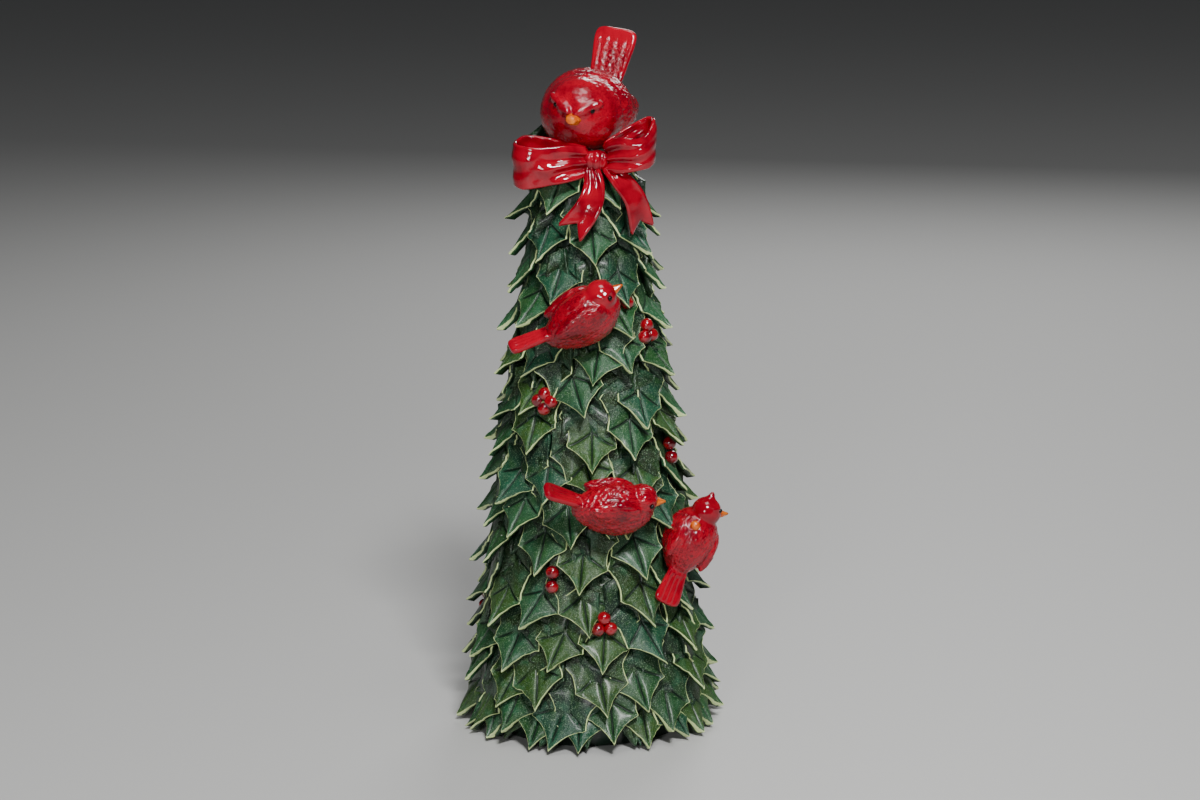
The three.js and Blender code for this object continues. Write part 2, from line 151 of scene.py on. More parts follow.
def splinePoint(points, share):
    # a smooth line through the points, by equal shares of the number of spans
    spans = len(points) - 1
    index = min(int(share * spans), spans - 1)
    t = share * spans - index
    here, there = points[index], points[index + 1]
    before = points[index - 1] if index > 0 else here * 2 - there
    after = points[index + 2] if index + 2 <= spans else there * 2 - here
    return 0.5 * ((2 * here) + (there - before) * t + (2 * before - 5 * here + 4 * there - after) * t * t
                  + (3 * here - before - 3 * there + after) * t ** 3)


class Glaze:
    # a material, with short ways of adding and linking its nodes
    def __init__(self, name):
        self.material = bpy.data.materials.new(name)
        self.material.use_nodes = True
        self.tree = self.material.node_tree
        self.shader = self.tree.nodes["Principled BSDF"]
        self.place = self.add("ShaderNodeTexCoord").outputs["Object"]

    def put(self, node, socket, value):
        if isinstance(value, bpy.types.NodeSocket):
            self.tree.links.new(value, node.inputs[socket])
        else:
            node.inputs[socket].default_value = value

    def shade(self, values):
        for socket, value in values.items():
            self.put(self.shader, socket, value)
        return self.material

    def add(self, kind, settings=None, **values):
        # a number after an i names a socket by its place
        node = self.tree.nodes.new(kind)
        for name, value in (settings or {}).items():
            setattr(node, name, value)
        for name, value in values.items():
            self.put(node, int(name[1:]) if name[1:].isdigit() else name, value)
        return node

    def noise(self, scale, detail, place=None, **values):
        place = place or self.place
        return self.add("ShaderNodeTexNoise", Vector=place, Scale=scale, Detail=detail, **values).outputs[0]

    def attribute(self, name, output="Color"):
        return self.add("ShaderNodeAttribute", {"attribute_name": name}).outputs[output]

    def channels(self, name):
        return self.add("ShaderNodeSeparateColor", Color=self.attribute(name)).outputs[:3]

    def math(self, operation, a, b):
        return self.add("ShaderNodeMath", {"operation": operation}, i0=a, i1=b).outputs[0]

    def sum(self, a, b, share):
        return self.math("ADD", a, self.math("MULTIPLY", b, share))

    def blend(self, factor, a, b):
        # b is a plain colour, a is one too or a socket
        a = a if isinstance(a, bpy.types.NodeSocket) else (*a, 1)
        settings = {"data_type": "RGBA", "clamp_result": True}
        return self.add("ShaderNodeMix", settings, i0=factor, i6=a, i7=(*b, 1)).outputs[2]

    def ramp(self, value, low, high):
        # from one colour to the other between two values
        node = self.add("ShaderNodeValToRGB", i0=value)
        for element, (position, colour) in zip(node.color_ramp.elements, (low, high)):
            element.position, element.color = position, (*colour, 1)
        return node.outputs[0]

    def remap(self, value, *bounds):
        # from low and high to low and high, with soft ends
        node = self.add("ShaderNodeMapRange", {"interpolation_type": "SMOOTHSTEP"}, i0=value)
        for index, number in enumerate(bounds, 1):
            node.inputs[index].default_value = number
        return node.outputs[0]

    def bump(self, height, strength, depth):
        return self.add("ShaderNodeBump", Height=height, Strength=strength, Distance=depth).outputs[0]


# foliage

leafRows = {
    "seed": 949099,
    "rowRise": 25.3,
    "firstTip": 2.5,
    "leastTip": 1.5,
    "pitch": 36.5,
    "rise": 17.5,
    "lowestRise": 0.85,
    "sizes": (1.1, 0.96),  # of the bottom row and of the top row
    "tierRows": (2, 2, 2, 2, 2, 2, 2),
    "swings": {"turn": 0.34, "height": 14, "lean": 34, "roll": 16, "rise": 0.3, "size": 0.12},
}

leafShape = {
    "outline": ((0.0, 0.0), (15.0, 14.5), (19.6, 31.5), (14.0, 50.0)),  # half of it, tip to root
    "hollow": (1.9, 3.0, 1.2),  # how far each edge curves in between its spines
    "veinRoots": (0.0, 23.0, 40.0, 52.0),
    "veinBow": 1.3,
    "veinFades": (0.1, 0.72, 0.95),  # of a side vein's reach, where it is whole, weakens and ends
    "midribFades": (2.0, 7.0),
    "length": 44.0,
    "larger": 1.07,  # than the solids' leaves, measured from the tip
    "halfWidth": 17.5,
    "sink": 1.6,
    "fold": 1.0,
    "bulge": 1.7,
    "bulgePowers": (0.7, 0.9),  # along and across the panel between two veins
    "grooveDepth": 1.1,
    "grooveWidth": 0.62,
    "sideGroove": 0.8,
    "rimWidth": 1.6,
    "rimFades": (2.05, 2.5),
    "lip": (0.6, 0.35, 0.45),  # height, distance from the edge, width
    "edgeRound": 0.25,
    "wall": (2.0, 3.4),  # depth of the rim and of the underside
    "flare": (2.6, 0.35),  # of a spine, and the share of it that bends down
    "flareReach": 0.35,
    "wave": 0.7,
    "waves": (5, 6.28, 3),  # how close, how far apart two leaves may be, and the other half's shift
    "droop": 5.0,  # how far one margin may hang
    "ragged": 0.6,
    "raggedGrain": 0.33,
    "raggedShifts": (0, 31, 67),  # far apart, so that the three directions differ
    "underShare": 0.72,
    "underRows": (0.35, 0.86),  # where the underside begins, and its share of the length
    "ground": 0.3,
    "topEnd": (368.5, -20, 0.6),  # height in front, behind the knot; it rises from this depth at this rate
    "columns": (0, 0.022, 0.048, 0.07, 0.11, 0.2, 0.34, 0.5, 0.66, 0.8, 0.88, 0.93, 0.965, 0.986, 1),
    "rows": (0, 0.02, 0.042, 0.062, 0.095, 0.16, 0.28, 0.42, 0.56, 0.7, 0.82, 0.9, 0.935, 0.957, 0.98),
    "lastRows": (0, 0.025, 0.05, 0.08, 0.15, 0.35, 0.65, 1),
    "coarseStep": 2,  # the hidden leaves keep every second line
    "chart": {"top": (0.325, 0.295), "under": (0.82, 0.15), "shrink": 0.15, "tall": 0.47},
}

underLeaves = {
    "seed": 88,
    "rise": 5.0,
    "deeper": 1.6,
    "aside": 0.25,  # of the pitch, from the leaf before
    "raised": 0.5,  # of a row, how far they hang over the row that they fill
    "rimShare": 0.5,  # of the pale rim that they keep; the rest is dimmed as painted shade
    "swings": {"turn": 0.2, "height": 5, "lean": 30, "roll": 14, "rise": 0.4},
    "footTip": 2.0,
    "footRise": 9.5,
    "footAside": (0.75, 0.25),  # of the top row's pitch
    "footSwings": {"lean": 24, "rise": 0.3},
}

footLeaves = {
    "seed": 89,
    "tip": 1.0,
    "rise": 14.6,
    "lower": 0.16,
    "size": 1.02,
    "aside": 0.5,
    "swings": {"turn": 0.2, "lean": 24, "roll": 14, "size": 0.1},
}

leafTones = {
    "seed": 41,
    "tones": (tone(54, 88, 28), tone(38, 86, 50), tone(26, 78, 34), tone(16, 74, 50)),
    "rows": (1, 13),  # from which row to which the leaves turn bluer, and lighter as the painted shade of the lower rows lifts
    "bluer": 0.25,
    # painted shade: share of the tone on the lowest row
    "lowest": 0.76,
    # painted shade: share of the tone on the leaves set deeper
    "deeper": 0.55,
    "range": (0.85, 0.3),
    "shade": 0.22,  # of the tone, where a leaf lies low against the cone: painted shade, and the dark glaze that pools there
    "shadeLift": (-1.5, 6.5),
    "patches": (tone(44, 84, 30), tone(52, 110, 82)),
    "strokes": tone(16, 56, 34),
    # painted highlight: pale flecks stand in for the glints on the fine stipple
    "paintedGlintSpeckle": tone(140, 168, 134),
    "groove": tone(8, 32, 20),
    "underside": tone(8, 30, 18),
    "rim": tone(208, 226, 158),
}


def leafPlaces():
    draw = seededDraws(leafRows["seed"])
    wide = leafRows["swings"]
    places = []
    rows = sum(leafRows["tierRows"])
    for row in range(rows):
        height = leafRows["firstTip"] + row * leafRows["rowRise"]
        tipRadius = cone["tipCircle"] - cone["taper"] * height
        count = round(2 * math.pi * tipRadius / leafRows["pitch"])
        size = mix(*leafRows["sizes"], row / (rows - 1))
        rise = leafRows["rise"] * (leafRows["lowestRise"] if row == 0 else 1.0)
        rowTurn = draw() * 360 / count
        for i in range(count):
            places.append({
                "row": row,
                "turn": rowTurn + (i + swing(draw, wide["turn"])) * 360 / count,
                "height": max(height + swing(draw, wide["height"]), leafRows["leastTip"]),
                "lean": math.radians(swing(draw, wide["lean"])),
                "roll": math.radians(swing(draw, wide["roll"])),
                "rise": rise * (1 + swing(draw, wide["rise"])),
                "size": size * (1 + swing(draw, wide["size"])),
            })
    return places


def underPlaces(places):
    # flatter leaves behind every gap, so that no bare cone shows
    draw = seededDraws(underLeaves["seed"])
    wide, footWide = underLeaves["swings"], underLeaves["footSwings"]
    rows = sum(leafRows["tierRows"])
    made = []
    for row in range(rows):
        leaders = [place["turn"] for place in places if place["row"] == row]
        pitch = 360 / len(leaders)
        height = leafRows["firstTip"] + (row + underLeaves["raised"]) * leafRows["rowRise"]
        for turn in leaders:
            made.append({
                "row": row,
                "turn": turn + (underLeaves["aside"] + swing(draw, wide["turn"])) * pitch,
                "height": height + swing(draw, wide["height"]),
                "lean": math.radians(swing(draw, wide["lean"])),
                "roll": math.radians(swing(draw, wide["roll"])),
                "rise": underLeaves["rise"] * (1 + swing(draw, wide["rise"])),
                "size": mix(*leafRows["sizes"], row / rows),
            })
    for place in [place for place in places if place["row"] == 0] * 2:
        made.append({
            **place,
            "turn": place["turn"] + underLeaves["footAside"][len(made) % 2] * pitch,
            "height": underLeaves["footTip"],
            "lean": math.radians(swing(draw, footWide["lean"])),
            "rise": underLeaves["footRise"] * (1 + swing(draw, footWide["rise"])),
        })
    return made


def footPlaces(places):
    # leaves between those of the lowest row, that stand on the ground
    draw = seededDraws(footLeaves["seed"])
    wide = footLeaves["swings"]
    lowest = [place["turn"] for place in places if place["row"] == 0]
    return [{
        "row": 0,
        "turn": turn + (footLeaves["aside"] + swing(draw, wide["turn"])) * 360 / len(lowest),
        "height": footLeaves["tip"],
        "lean": math.radians(swing(draw, wide["lean"])),
        "roll": math.radians(swing(draw, wide["roll"])),
        "rise": footLeaves["rise"] * (1 - footLeaves["lower"] * draw()),
        "size": footLeaves["size"] * (1 + swing(draw, wide["size"])),
    } for turn in lowest]


def leafEdge(along):
    # the outline's half width and height at 0 to 3 spans from the tip, and the height on the midrib
    span = min(int(along), 2)
    t = along - span
    (x0, y0), (x1, y1) = leafShape["outline"][span:span + 2]
    inward = Vector((-(y1 - y0), x1 - x0)).normalized() * leafShape["hollow"][span] * math.sin(math.pi * t)
    root = mix(*leafShape["veinRoots"][span:span + 2], t)
    return mix(x0, x1, t) + inward.x, mix(y0, y1, t) + inward.y, root


def veinHeight(root, edge, share):
    return root + (edge - root) * (1 - (1 - share) ** leafShape["veinBow"])


def leafSpot(across, along):
    # rows run from the midrib out and down to the edge, as the side veins do
    edgeX, edgeY, root = leafEdge(along)
    return across * edgeX, veinHeight(root, edgeY, abs(across))


def leafRelief(across, along):
    # height over the bare curve, and the shares of rim and groove there
    shape = leafShape
    x, y = leafSpot(across, along)
    share, inSpan = abs(across), along - min(int(along), 2)
    edgeX, edgeY, root = leafEdge(along)
    toEdge = (1 - share) * math.hypot(edgeX, edgeY - root)
    panel = math.prod(max(math.sin(math.pi * part), 0.0) ** power
                      for part, power in zip((inSpan, share), shape["bulgePowers"]))

    def grooveAt(distance):
        return math.exp(-(distance / shape["grooveWidth"]) ** 2)

    groove = grooveAt(abs(x)) * smoothStep(*shape["midribFades"], y)
    whole, weaker, gone = shape["veinFades"]
    for vein in (1, 2):
        veinX, veinY, veinRoot = leafEdge(vein)
        reach = min(abs(x) / veinX, 1.0)
        fade = smoothStep(0.0, whole, reach) * (1 - smoothStep(weaker, gone, reach))
        apart = abs(y - veinHeight(veinRoot, veinY, reach))
        groove = max(groove, grooveAt(shape["sideGroove"] * apart) * fade)
    rim = max(1 - toEdge / shape["rimWidth"], 0.0) * (1 - smoothStep(*shape["rimFades"], along))
    lip, lipAt, lipWidth = shape["lip"]
    height = shape["bulge"] * panel - shape["grooveDepth"] * groove
    height += lip * math.exp(-((toEdge - lipAt) / lipWidth) ** 2)
    height -= shape["edgeRound"] * (1 - smoothStep(0.0, shape["edgeRound"], toEdge))
    return height, rim, groove


def leafTemplate(step=1):
    # one flat leaf with its veins and rim, a closed slab: level 0 on top, 1 below the margin, 2 underneath
    shape, chart = leafShape, leafShape["chart"]
    half, spans, last = (shape[name][::step] for name in ("columns", "rows", "lastRows"))
    columns = [-share for share in reversed(half[1:])] + list(half)
    rows = [span + share for span in (0, 1) for share in spans] + [2 + share for share in last]
    bm = bmesh.new()
    param = bm.verts.layers.float_vector.new("leafParam")
    mask = bm.verts.layers.float_color.new("leafMask")
    uvMap = bm.loops.layers.uv.new("OFBake")
    bmesh.ops.create_grid(bm, x_segments=len(columns) - 1, y_segments=len(rows) - 1, size=1)
    for vert in bm.verts:
        column = round((vert.co.x + 1) / 2 * (len(columns) - 1))
        row = round((vert.co.y + 1) / 2 * (len(rows) - 1))
        vert[param] = (columns[column], rows[row], 0)
    border = [edge for edge in bm.edges if edge.is_boundary]
    for level in (1, 2):
        wall = bmesh.ops.extrude_edge_only(bm, edges=border)["geom"]
        border = [item for item in wall if isinstance(item, bmesh.types.BMEdge) and item.is_boundary]
        for vert in {vert for edge in border for vert in edge.verts}:
            vert[param].z = level
    under = shape["underShare"]
    underFrom, underRate = shape["underRows"]
    for vert in bm.verts:
        across, along, level = vert[param]
        if level > 1.5:
            across, along = under * across, underFrom + underRate * along
        vert.co = (*leafSpot(across, along), -level)
    for level in (0, 1, 2):
        tip = [vert for vert in bm.verts if vert[param].y < 1e-6 and round(vert[param].z) == level]
        lowest = 0.0 if level < 2 else leafSpot(0, underFrom)[1]
        bmesh.ops.pointmerge(bm, verts=tip, merge_co=(0, lowest, -level))
    border = [edge for edge in bm.edges if edge.is_boundary]
    bmesh.ops.triangle_fill(bm, edges=border, use_beauty=True)
    bmesh.ops.recalc_face_normals(bm, faces=bm.faces)
    for face in bm.faces:
        onTop = all(vert[param].z < 0.5 for vert in face.verts)
        centre, reach = chart["top" if onTop else "under"]
        for loop in face.loops:
            across, along, level = loop.vert[param]
            inner = 1 if onTop else 1 - chart["shrink"] * level
            up = chart["tall"] * inner * (along / 1.5 - 1)
            loop[uvMap].uv = (centre + reach * inner * across, 0.5 + up)
    for vert in bm.verts:
        across, along, level = vert[param]
        height, rim, groove = leafRelief(across, along)
        if level > 1.5:
            vert.co.z, vert[mask] = -shape["wall"][1], (0, 0, 1, 1)
        elif level > 0.5:
            vert.co.z, vert[mask] = height - shape["wall"][0], (-0.8, 0, 0.6, 1)
        else:
            vert.co.z, vert[mask] = height, (rim, groove, 0, 1)
    mesh = bpy.data.meshes.new("leafTemplate")
    bm.to_mesh(mesh)
    bm.free()
    return mesh


def leafMaterial():
    glaze, paint = Glaze("holly leaf glaze"), leafTones
    rim, groove, under = glaze.channels("leafMask")
    patches = glaze.noise(95.0, 3.0)
    grain = glaze.noise(1500.0, 1.0, Roughness=0.6)
    strokes = glaze.noise(520.0, 3.0, Distortion=1.2)
    # each leaf's tone, with its painted shade
    colour = glaze.attribute("leafTintAndShade")
    unevenRim = glaze.sum(rim, glaze.math("SUBTRACT", strokes, 0.5), 0.4)
    for share, over in (
        (glaze.remap(patches, 0.52, 0.7, 0, 0.45), paint["patches"][0]),
        (glaze.remap(patches, 0.5, 0.3, 0, 0.4), paint["patches"][1]),
        (glaze.remap(strokes, 0.5, 0.36, 0, 0.65), paint["strokes"]),
        # painted highlight flecks, in place of glints
        (glaze.remap(grain, 0.57, 0.68, 0, 0.5), paint["paintedGlintSpeckle"]),
        (glaze.remap(groove, 0.2, 0.75, 0, 0.95), paint["groove"]),
        (glaze.math("MULTIPLY", under, 0.9), paint["underside"]),
        (glaze.remap(unevenRim, 0.6, 0.76, 0, 0.95), paint["rim"]),
    ):
        colour = glaze.blend(share, colour, over)
    relief = glaze.sum(glaze.math("MULTIPLY", grain, 0.35), strokes, 0.65)
    return glaze.shade({
        "Base Color": colour,
        "Roughness": glaze.remap(grain, 0.35, 0.7, 0.3, 0.5),
        "Normal": glaze.bump(relief, 0.8, 0.0009),
        "Specular IOR Level": 0.4,
        "Coat Weight": 0.15,
        "Coat Roughness": 0.2,
    })


def leafToneWithShade(draw, row, deeper):
    paint = leafTones
    upper = smoothStep(*paint["rows"], row)
    pick = draw() + paint["bluer"] * (upper - 0.5)
    tones, (darkest, wide) = paint["tones"], paint["range"]
    base = Vector(tones[min(max(int(pick * len(tones)), 0), len(tones) - 1)]) * (darkest + wide * draw())
    # leaves set deeper and the lower rows are darkened: painted shade
    return base * (paint["deeper"] if deeper else 1) * mix(paint["lowest"], 1, upper)


def addLeaf(bm, template, leaf, number, cells, deeper, draw):
    # a copy of the template, bent over the cone, with its own cell of the map
    shape = leafShape
    oldVerts, oldFaces = len(bm.verts), len(bm.faces)
    bm.from_mesh(template)
    tintAndShade = bm.verts.layers.float_color.get("leafTintAndShade") or bm.verts.layers.float_color.new("leafTintAndShade")
    param = bm.verts.layers.float_vector["leafParam"]
    mask = bm.verts.layers.float_color["leafMask"]
    uvMap = bm.loops.layers.uv["OFBake"]
    bm.verts.ensure_lookup_table()
    bm.faces.ensure_lookup_table()
    base = leafToneWithShade(draw, leaf["row"], deeper)
    flare, down = shape["flare"]
    flares = [[flare * (draw() - down) for _ in (1, 2)] for _ in (1, 2)]
    close, phases, otherHalf = shape["waves"]
    wave, phase = shape["wave"] * draw(), phases * draw()
    droop, droopSide = shape["droop"] * draw(), math.copysign(1, draw() - 0.5)
    rootEnd = shape["length"] * leaf["size"]
    size = shape["larger"] * leaf["size"]
    topEnd, topFrom, topRate = shape["topEnd"]
    pose = skinFrame(leaf["turn"], leaf["height"]) @ Matrix.Rotation(leaf["lean"], 4, "Z")
    pose = pose @ Matrix.Rotation(leaf["roll"], 4, "Y")
    for vert in bm.verts[oldVerts:]:
        across, along = vert[param][:2]
        x, y = vert.co.x * size, vert.co.y * size
        share, left = abs(across), across < 0
        bend = leaf["rise"] * ((rootEnd - y) / rootEnd) ** 2
        fold = shape["fold"] * abs(x) / shape["halfWidth"]
        spines = enumerate(flares[0 if left else 1], 1)
        curl = sum(lift * math.exp(-((along - at) / shape["flareReach"]) ** 2) for at, lift in spines)
        curl *= share ** 3
        curl += wave * share * share * math.sin(close * along + phase + (otherHalf if left else 0))
        curl -= droop * max(droopSide * across, 0) ** 1.5 * (1 - along / 3)
        if share > 0.5:
            ragged, grain = shape["ragged"] * smoothStep(0.5, 1, share), shape["raggedGrain"]
            at = Vector((grain * x, grain * y, phase + 9 * number))
            nudge = Vector([noise.noise(at + Vector((shift, 0, 0))) for shift in shape["raggedShifts"]])
            x, y, curl = x + ragged * nudge.x, y + ragged * nudge.y, curl + 2 * ragged * nudge.z
        lift = vert.co.z + bend - fold - shape["sink"] - deeper + curl
        spot = pose @ Vector((x, y, lift))
        spot.z = min(max(spot.z, shape["ground"]), topEnd + topRate * max(spot.y - topFrom, 0))
        vert.co = insideBox(spot * mm)
        # painted shade: the tone darkens where the leaf lies low against the cone
        vert[tintAndShade] = (*base * mix(leafTones["shade"], 1, smoothStep(*leafTones["shadeLift"], lift)), 1)
        # the deeper leaves keep less of their pale rim, dimmed as painted shade
        if deeper:
            vert[mask].x *= underLeaves["rimShare"]
    cell = Vector((number % cells, number // cells))
    for face in bm.faces[oldFaces:]:
        for loop in face.loops:
            loop[uvMap].uv = (loop[uvMap].uv + cell) / cells


def makeFoliage():
    template, plainTemplate = leafTemplate(), leafTemplate(leafShape["coarseStep"])
    material = leafMaterial()
    draw = seededDraws(leafTones["seed"])
    places = leafPlaces()
    kinds = (
        (places + footPlaces(places), template, 0.0),
        (underPlaces(places), plainTemplate, underLeaves["deeper"]),
    )
    firstRow = 0
    made = []
    for tier, rows in enumerate(leafRows["tierRows"], 1):
        tierRows = range(firstRow, firstRow + rows)
        own = [(place, *kind) for group, *kind in kinds for place in group if place["row"] in tierRows]
        firstRow += rows
        cells = math.ceil(math.sqrt(len(own)))
        bm = bmesh.new()
        for number, (leaf, shapeMesh, deeper) in enumerate(own):
            addLeaf(bm, shapeMesh, leaf, number, cells, deeper, draw)
        bmesh.ops.recalc_face_normals(bm, faces=bm.faces)
        name, replaced = f"holly_leaves_{tier}", [f"foliage_tier_{tier}"]
        made.append(finishPiece(bm, name, material, "leaf_glaze", replaced))
    bpy.data.meshes.remove(template)
    bpy.data.meshes.remove(plainTemplate)
    return made


leaves = makeFoliage()
print("leaves", sum(len(piece.data.polygons) for piece in leaves))


# the cone's own skin, a dark green glaze kept near black as the painted shade between the leaves

coneSkin = {
    "footRound": 1.5,
    "lump": 0.9,
    "lumpSize": 9.0,
    "lumpsFrom": 4,
    "inset": 2.5,
    "footInset": 9.0,
    "footReach": 26.0,  # how high the foot draws in
    "steps": 120,
    "rings": 90,
    # near black: painted shade between the leaves
    "tones": (tone(4, 18, 12), tone(18, 44, 30)),
}


def makeConeBody():
    bm = bmesh.new()
    height, rings, footRound = cone["bodyHeight"], coneSkin["rings"], coneSkin["footRound"]
    bottom = cone["footRadius"] - footRound
    profile = [(0, 0), (bottom * 0.5, 0), (bottom, 0), (cone["footRadius"] - 0.4, 0.5)]
    for i in range(1, rings + 1):
        z = footRound + (height - footRound) * i / rings
        profile.append((cone["footRadius"] - cone["taper"] * z, z))
    profile += [(profile[-1][0] * 0.5, height + 0.8), (0, height + 1)]
    lathe(bm, [(x, 0, z) for x, z in profile], (0, 0, 1), coneSkin["steps"])
    bmesh.ops.remove_doubles(bm, verts=bm.verts, dist=1e-4)
    bmesh.ops.recalc_face_normals(bm, faces=bm.faces)
    bm.normal_update()
    for vert in bm.verts:
        above = smoothStep(0, coneSkin["footReach"], vert.co.z)
        share = 1 - mix(coneSkin["footInset"], coneSkin["inset"], above) / cone["footRadius"]
        if vert.co.z < height - 1:
            vert.co.x, vert.co.y = share * vert.co.x, share * vert.co.y
        if coneSkin["lumpsFrom"] < vert.co.z < height - 1:
            vert.co += vert.normal * coneSkin["lump"] * noise.noise(vert.co / coneSkin["lumpSize"])
    glaze = Glaze("cone glaze dark as painted shade")
    cloud = glaze.noise(120.0, 4.0)
    material = glaze.shade({
        "Base Color": glaze.ramp(cloud, *zip((0.3, 0.7), coneSkin["tones"])),
        "Roughness": glaze.remap(cloud, 0.3, 0.7, 0.2, 0.45),
        "Normal": glaze.bump(cloud, 0.5, 0.002),
        "Coat Weight": 0.3,
    })
    finishPiece(bm, "cone_body", material, "core_glaze", ["cone_core"], unmoved)


makeConeBody()
print("cone body")


# red glaze, shared by ribbon and birds

def redGlaze(name, bright, deep, coat, bumpDepth, carved=None):
    # glaze that pools darker in places; "workMask" holds worked texture, dark wash and matt glaze
    glaze = Glaze(name)
    pool = glaze.noise(70.0, 3.0)
    colour = glaze.blend(glaze.remap(pool, 0.42, 0.66, 0, 0.7), bright, deep)
    rough = glaze.remap(pool, 0.3, 0.7, 0.06, 0.14)
    if carved:
        worked, dark, matt = glaze.channels("workMask")
        local = glaze.attribute("birdPlace", "Vector")
        stretch = glaze.add("ShaderNodeMapping", Vector=local, Scale=carved["stretch"]).outputs[0]
        scribble = glaze.noise(carved["scale"], 1.0, stretch, Roughness=0.5, Distortion=2.0)
        hollow = glaze.math("MULTIPLY", glaze.remap(scribble, 0.5, 0.4, 0, 1), worked)
        colour = glaze.blend(glaze.math("MULTIPLY", hollow, carved["inked"]), colour, carved["ink"])
        colour = glaze.blend(glaze.math("MULTIPLY", dark, carved["washed"]), colour, carved["wash"])
        rough = glaze.sum(glaze.sum(rough, dark, 0.12), matt, 0.4)
        coat = glaze.remap(matt, 0, 1, coat, 0.02)
        bump = glaze.bump(glaze.math("MULTIPLY", scribble, worked), carved["strength"], bumpDepth)
    else:
        bump = glaze.bump(glaze.noise(260.0, 2.0), 0.22, bumpDepth)
    return glaze.shade({
        "Base Color": colour,
        "Roughness": rough,
        "Normal": bump,
        "Specular IOR Level": 0.35,
        "Coat Weight": coat,
        "Coat Roughness": 0.04,
    })


# berries

berry = {
    "radius": 4.3,
    "spread": 4.6,
    "standOff": 6.2,
    "dimple": 0.5,
    "tilt": 70,
    "seed": 7,
    "tones": (tone(152, 2, 24), tone(98, 0, 16), tone(60, 4, 8)),  # bright, deep and in the dimple
    "clusters": {  # turn, height, how many
        "front_low": (7.8, 81, 3),
        "front_left": (-20, 109, 2),
        "left_high": (-30, 219, 4),
        "right_high": (56, 258, 3),
        "right_middle": (68, 181, 2),
        "right_top": (36, 279, 1),
        "side_left": (-110, 70, 3),
        "side_right": (138, 66, 3),
        "back_low": (178, 98, 3),
        "back_left": (-128, 165, 3),
        "back_right": (140, 178, 2),
        "back_middle": (-165, 238, 3),
        "back_top": (150, 268, 3),
    },
}


def berryMaterial():
    glaze = Glaze("berry glaze")
    bright, deep, dimple = berry["tones"]
    cloud = glaze.noise(160.0, 3.0)
    colour = glaze.blend(glaze.remap(cloud, 0.4, 0.65, 0, 1), bright, deep)
    colour = glaze.blend(glaze.remap(glaze.attribute("berryTip", "Fac"), 0.3, 0.9, 0, 0.6), colour, dimple)
    return glaze.shade({
        "Base Color": colour,
        "Roughness": glaze.remap(cloud, 0.3, 0.7, 0.1, 0.22),
        "Normal": glaze.bump(cloud, 0.15, 0.0008),
        "Coat Weight": 0.9,
        "Coat Roughness": 0.04,
    })


def makeBerries():
    material = berryMaterial()
    draw = seededDraws(berry["seed"])
    radius = berry["radius"]
    for name, (turn, height, count) in berry["clusters"].items():
        bm = bmesh.new()
        tip = bm.verts.layers.float.new("berryTip")
        base = skinFrame(turn, height, berry["standOff"])
        facing = base.to_quaternion().to_matrix().to_4x4()
        for i in range(count):
            angle = math.radians(90 + 360 / count * i)
            reach = berry["spread"] if count > 1 else 0.0
            centre = base @ Vector((reach * math.cos(angle), reach * math.sin(angle), 0))
            ball = bmesh.ops.create_uvsphere(bm, u_segments=24, v_segments=16, radius=radius)["verts"]
            for vert in ball:
                share = vert.co.z / radius
                vert[tip] = smoothStep(0.975, 0.999, share)
                vert.co.z -= berry["dimple"] * smoothStep(0.9, 1.0, share)
            tilt = Matrix.Rotation(math.radians(swing(draw, berry["tilt"])), 4, "X")
            tilt = tilt @ Matrix.Rotation(math.radians(swing(draw, berry["tilt"])), 4, "Y")
            bmesh.ops.transform(bm, matrix=Matrix.Translation(centre) @ facing @ tilt, verts=ball)
        finishPiece(bm, f"berry_cluster_{name}", material, "berry_glaze", [f"berries_{name}"], unmoved)


makeBerries()
print("berries")


# ribbon bow

ribbon = {
    "knot": (8.0, -34.0, 367.0),
    "knotRadii": (8.5, 7.0, 6.5),
    "knotGrooves": (-0.32, 0.36),
    "knotGroove": (0.13, 0.2),  # width and depth, in radii
    "knotLump": 0.05,
    "thickness": 2.6,
    "middleThin": 0.2,
    "knotWidth": 11.0,
    "loopWidth": 31.0,
    "loopDepth": 24.0,
    "loopStart": 6,
    "loops": {
        "left": {"side": -1, "length": 51.0, "lift": -0.03, "frontDrop": 3.0, "backRise": (1.5, 0.0)},
        "right": {"side": 1, "length": 36.5, "lift": 0.34, "frontDrop": 8.0, "backRise": (0.0, 3.5)},
    },
    "turnWidth": 0.86,  # of the ribbon, where it turns back at the end of a loop
    "tails": {
        "left": {
            "route": ((5, -36, 364), (6.5, -42, 352), (3, -46, 340), (-9, -46, 324)),
            "width": 7.0, "endWidth": 18.0, "notch": 6.0, "facing": (-0.1, -1, 0.15),
        },
        "right": {
            "route": ((14, -36, 364), (22, -40, 356), (31, -38, 343), (35.5, -34, 323.5)),
            "width": 7.0, "endWidth": 17.0, "notch": 5.0, "facing": (0.45, -1, 0.25),
        },
    },
    "across": 20,  # faces over each side of the ribbon
    "rimFaces": 8,  # faces round each of its rims
    "along": 84,
    "pleat": 1.3,
    "pleatFrom": 8,
    "pleatReach": 17.0,
    "secondPleat": (0.6, 22, 9),  # share of the first, where it lies and its width
    "lumps": (1.1, 0.5),  # height on the loops and on the tails
    "lumpSize": 8.0,
    "belly": 0.9,
    "dish": 0.65,
    "tones": (tone(160, 0, 30), tone(100, 0, 18)),
    "coat": 0.5,
    "relief": 0.0012,
}


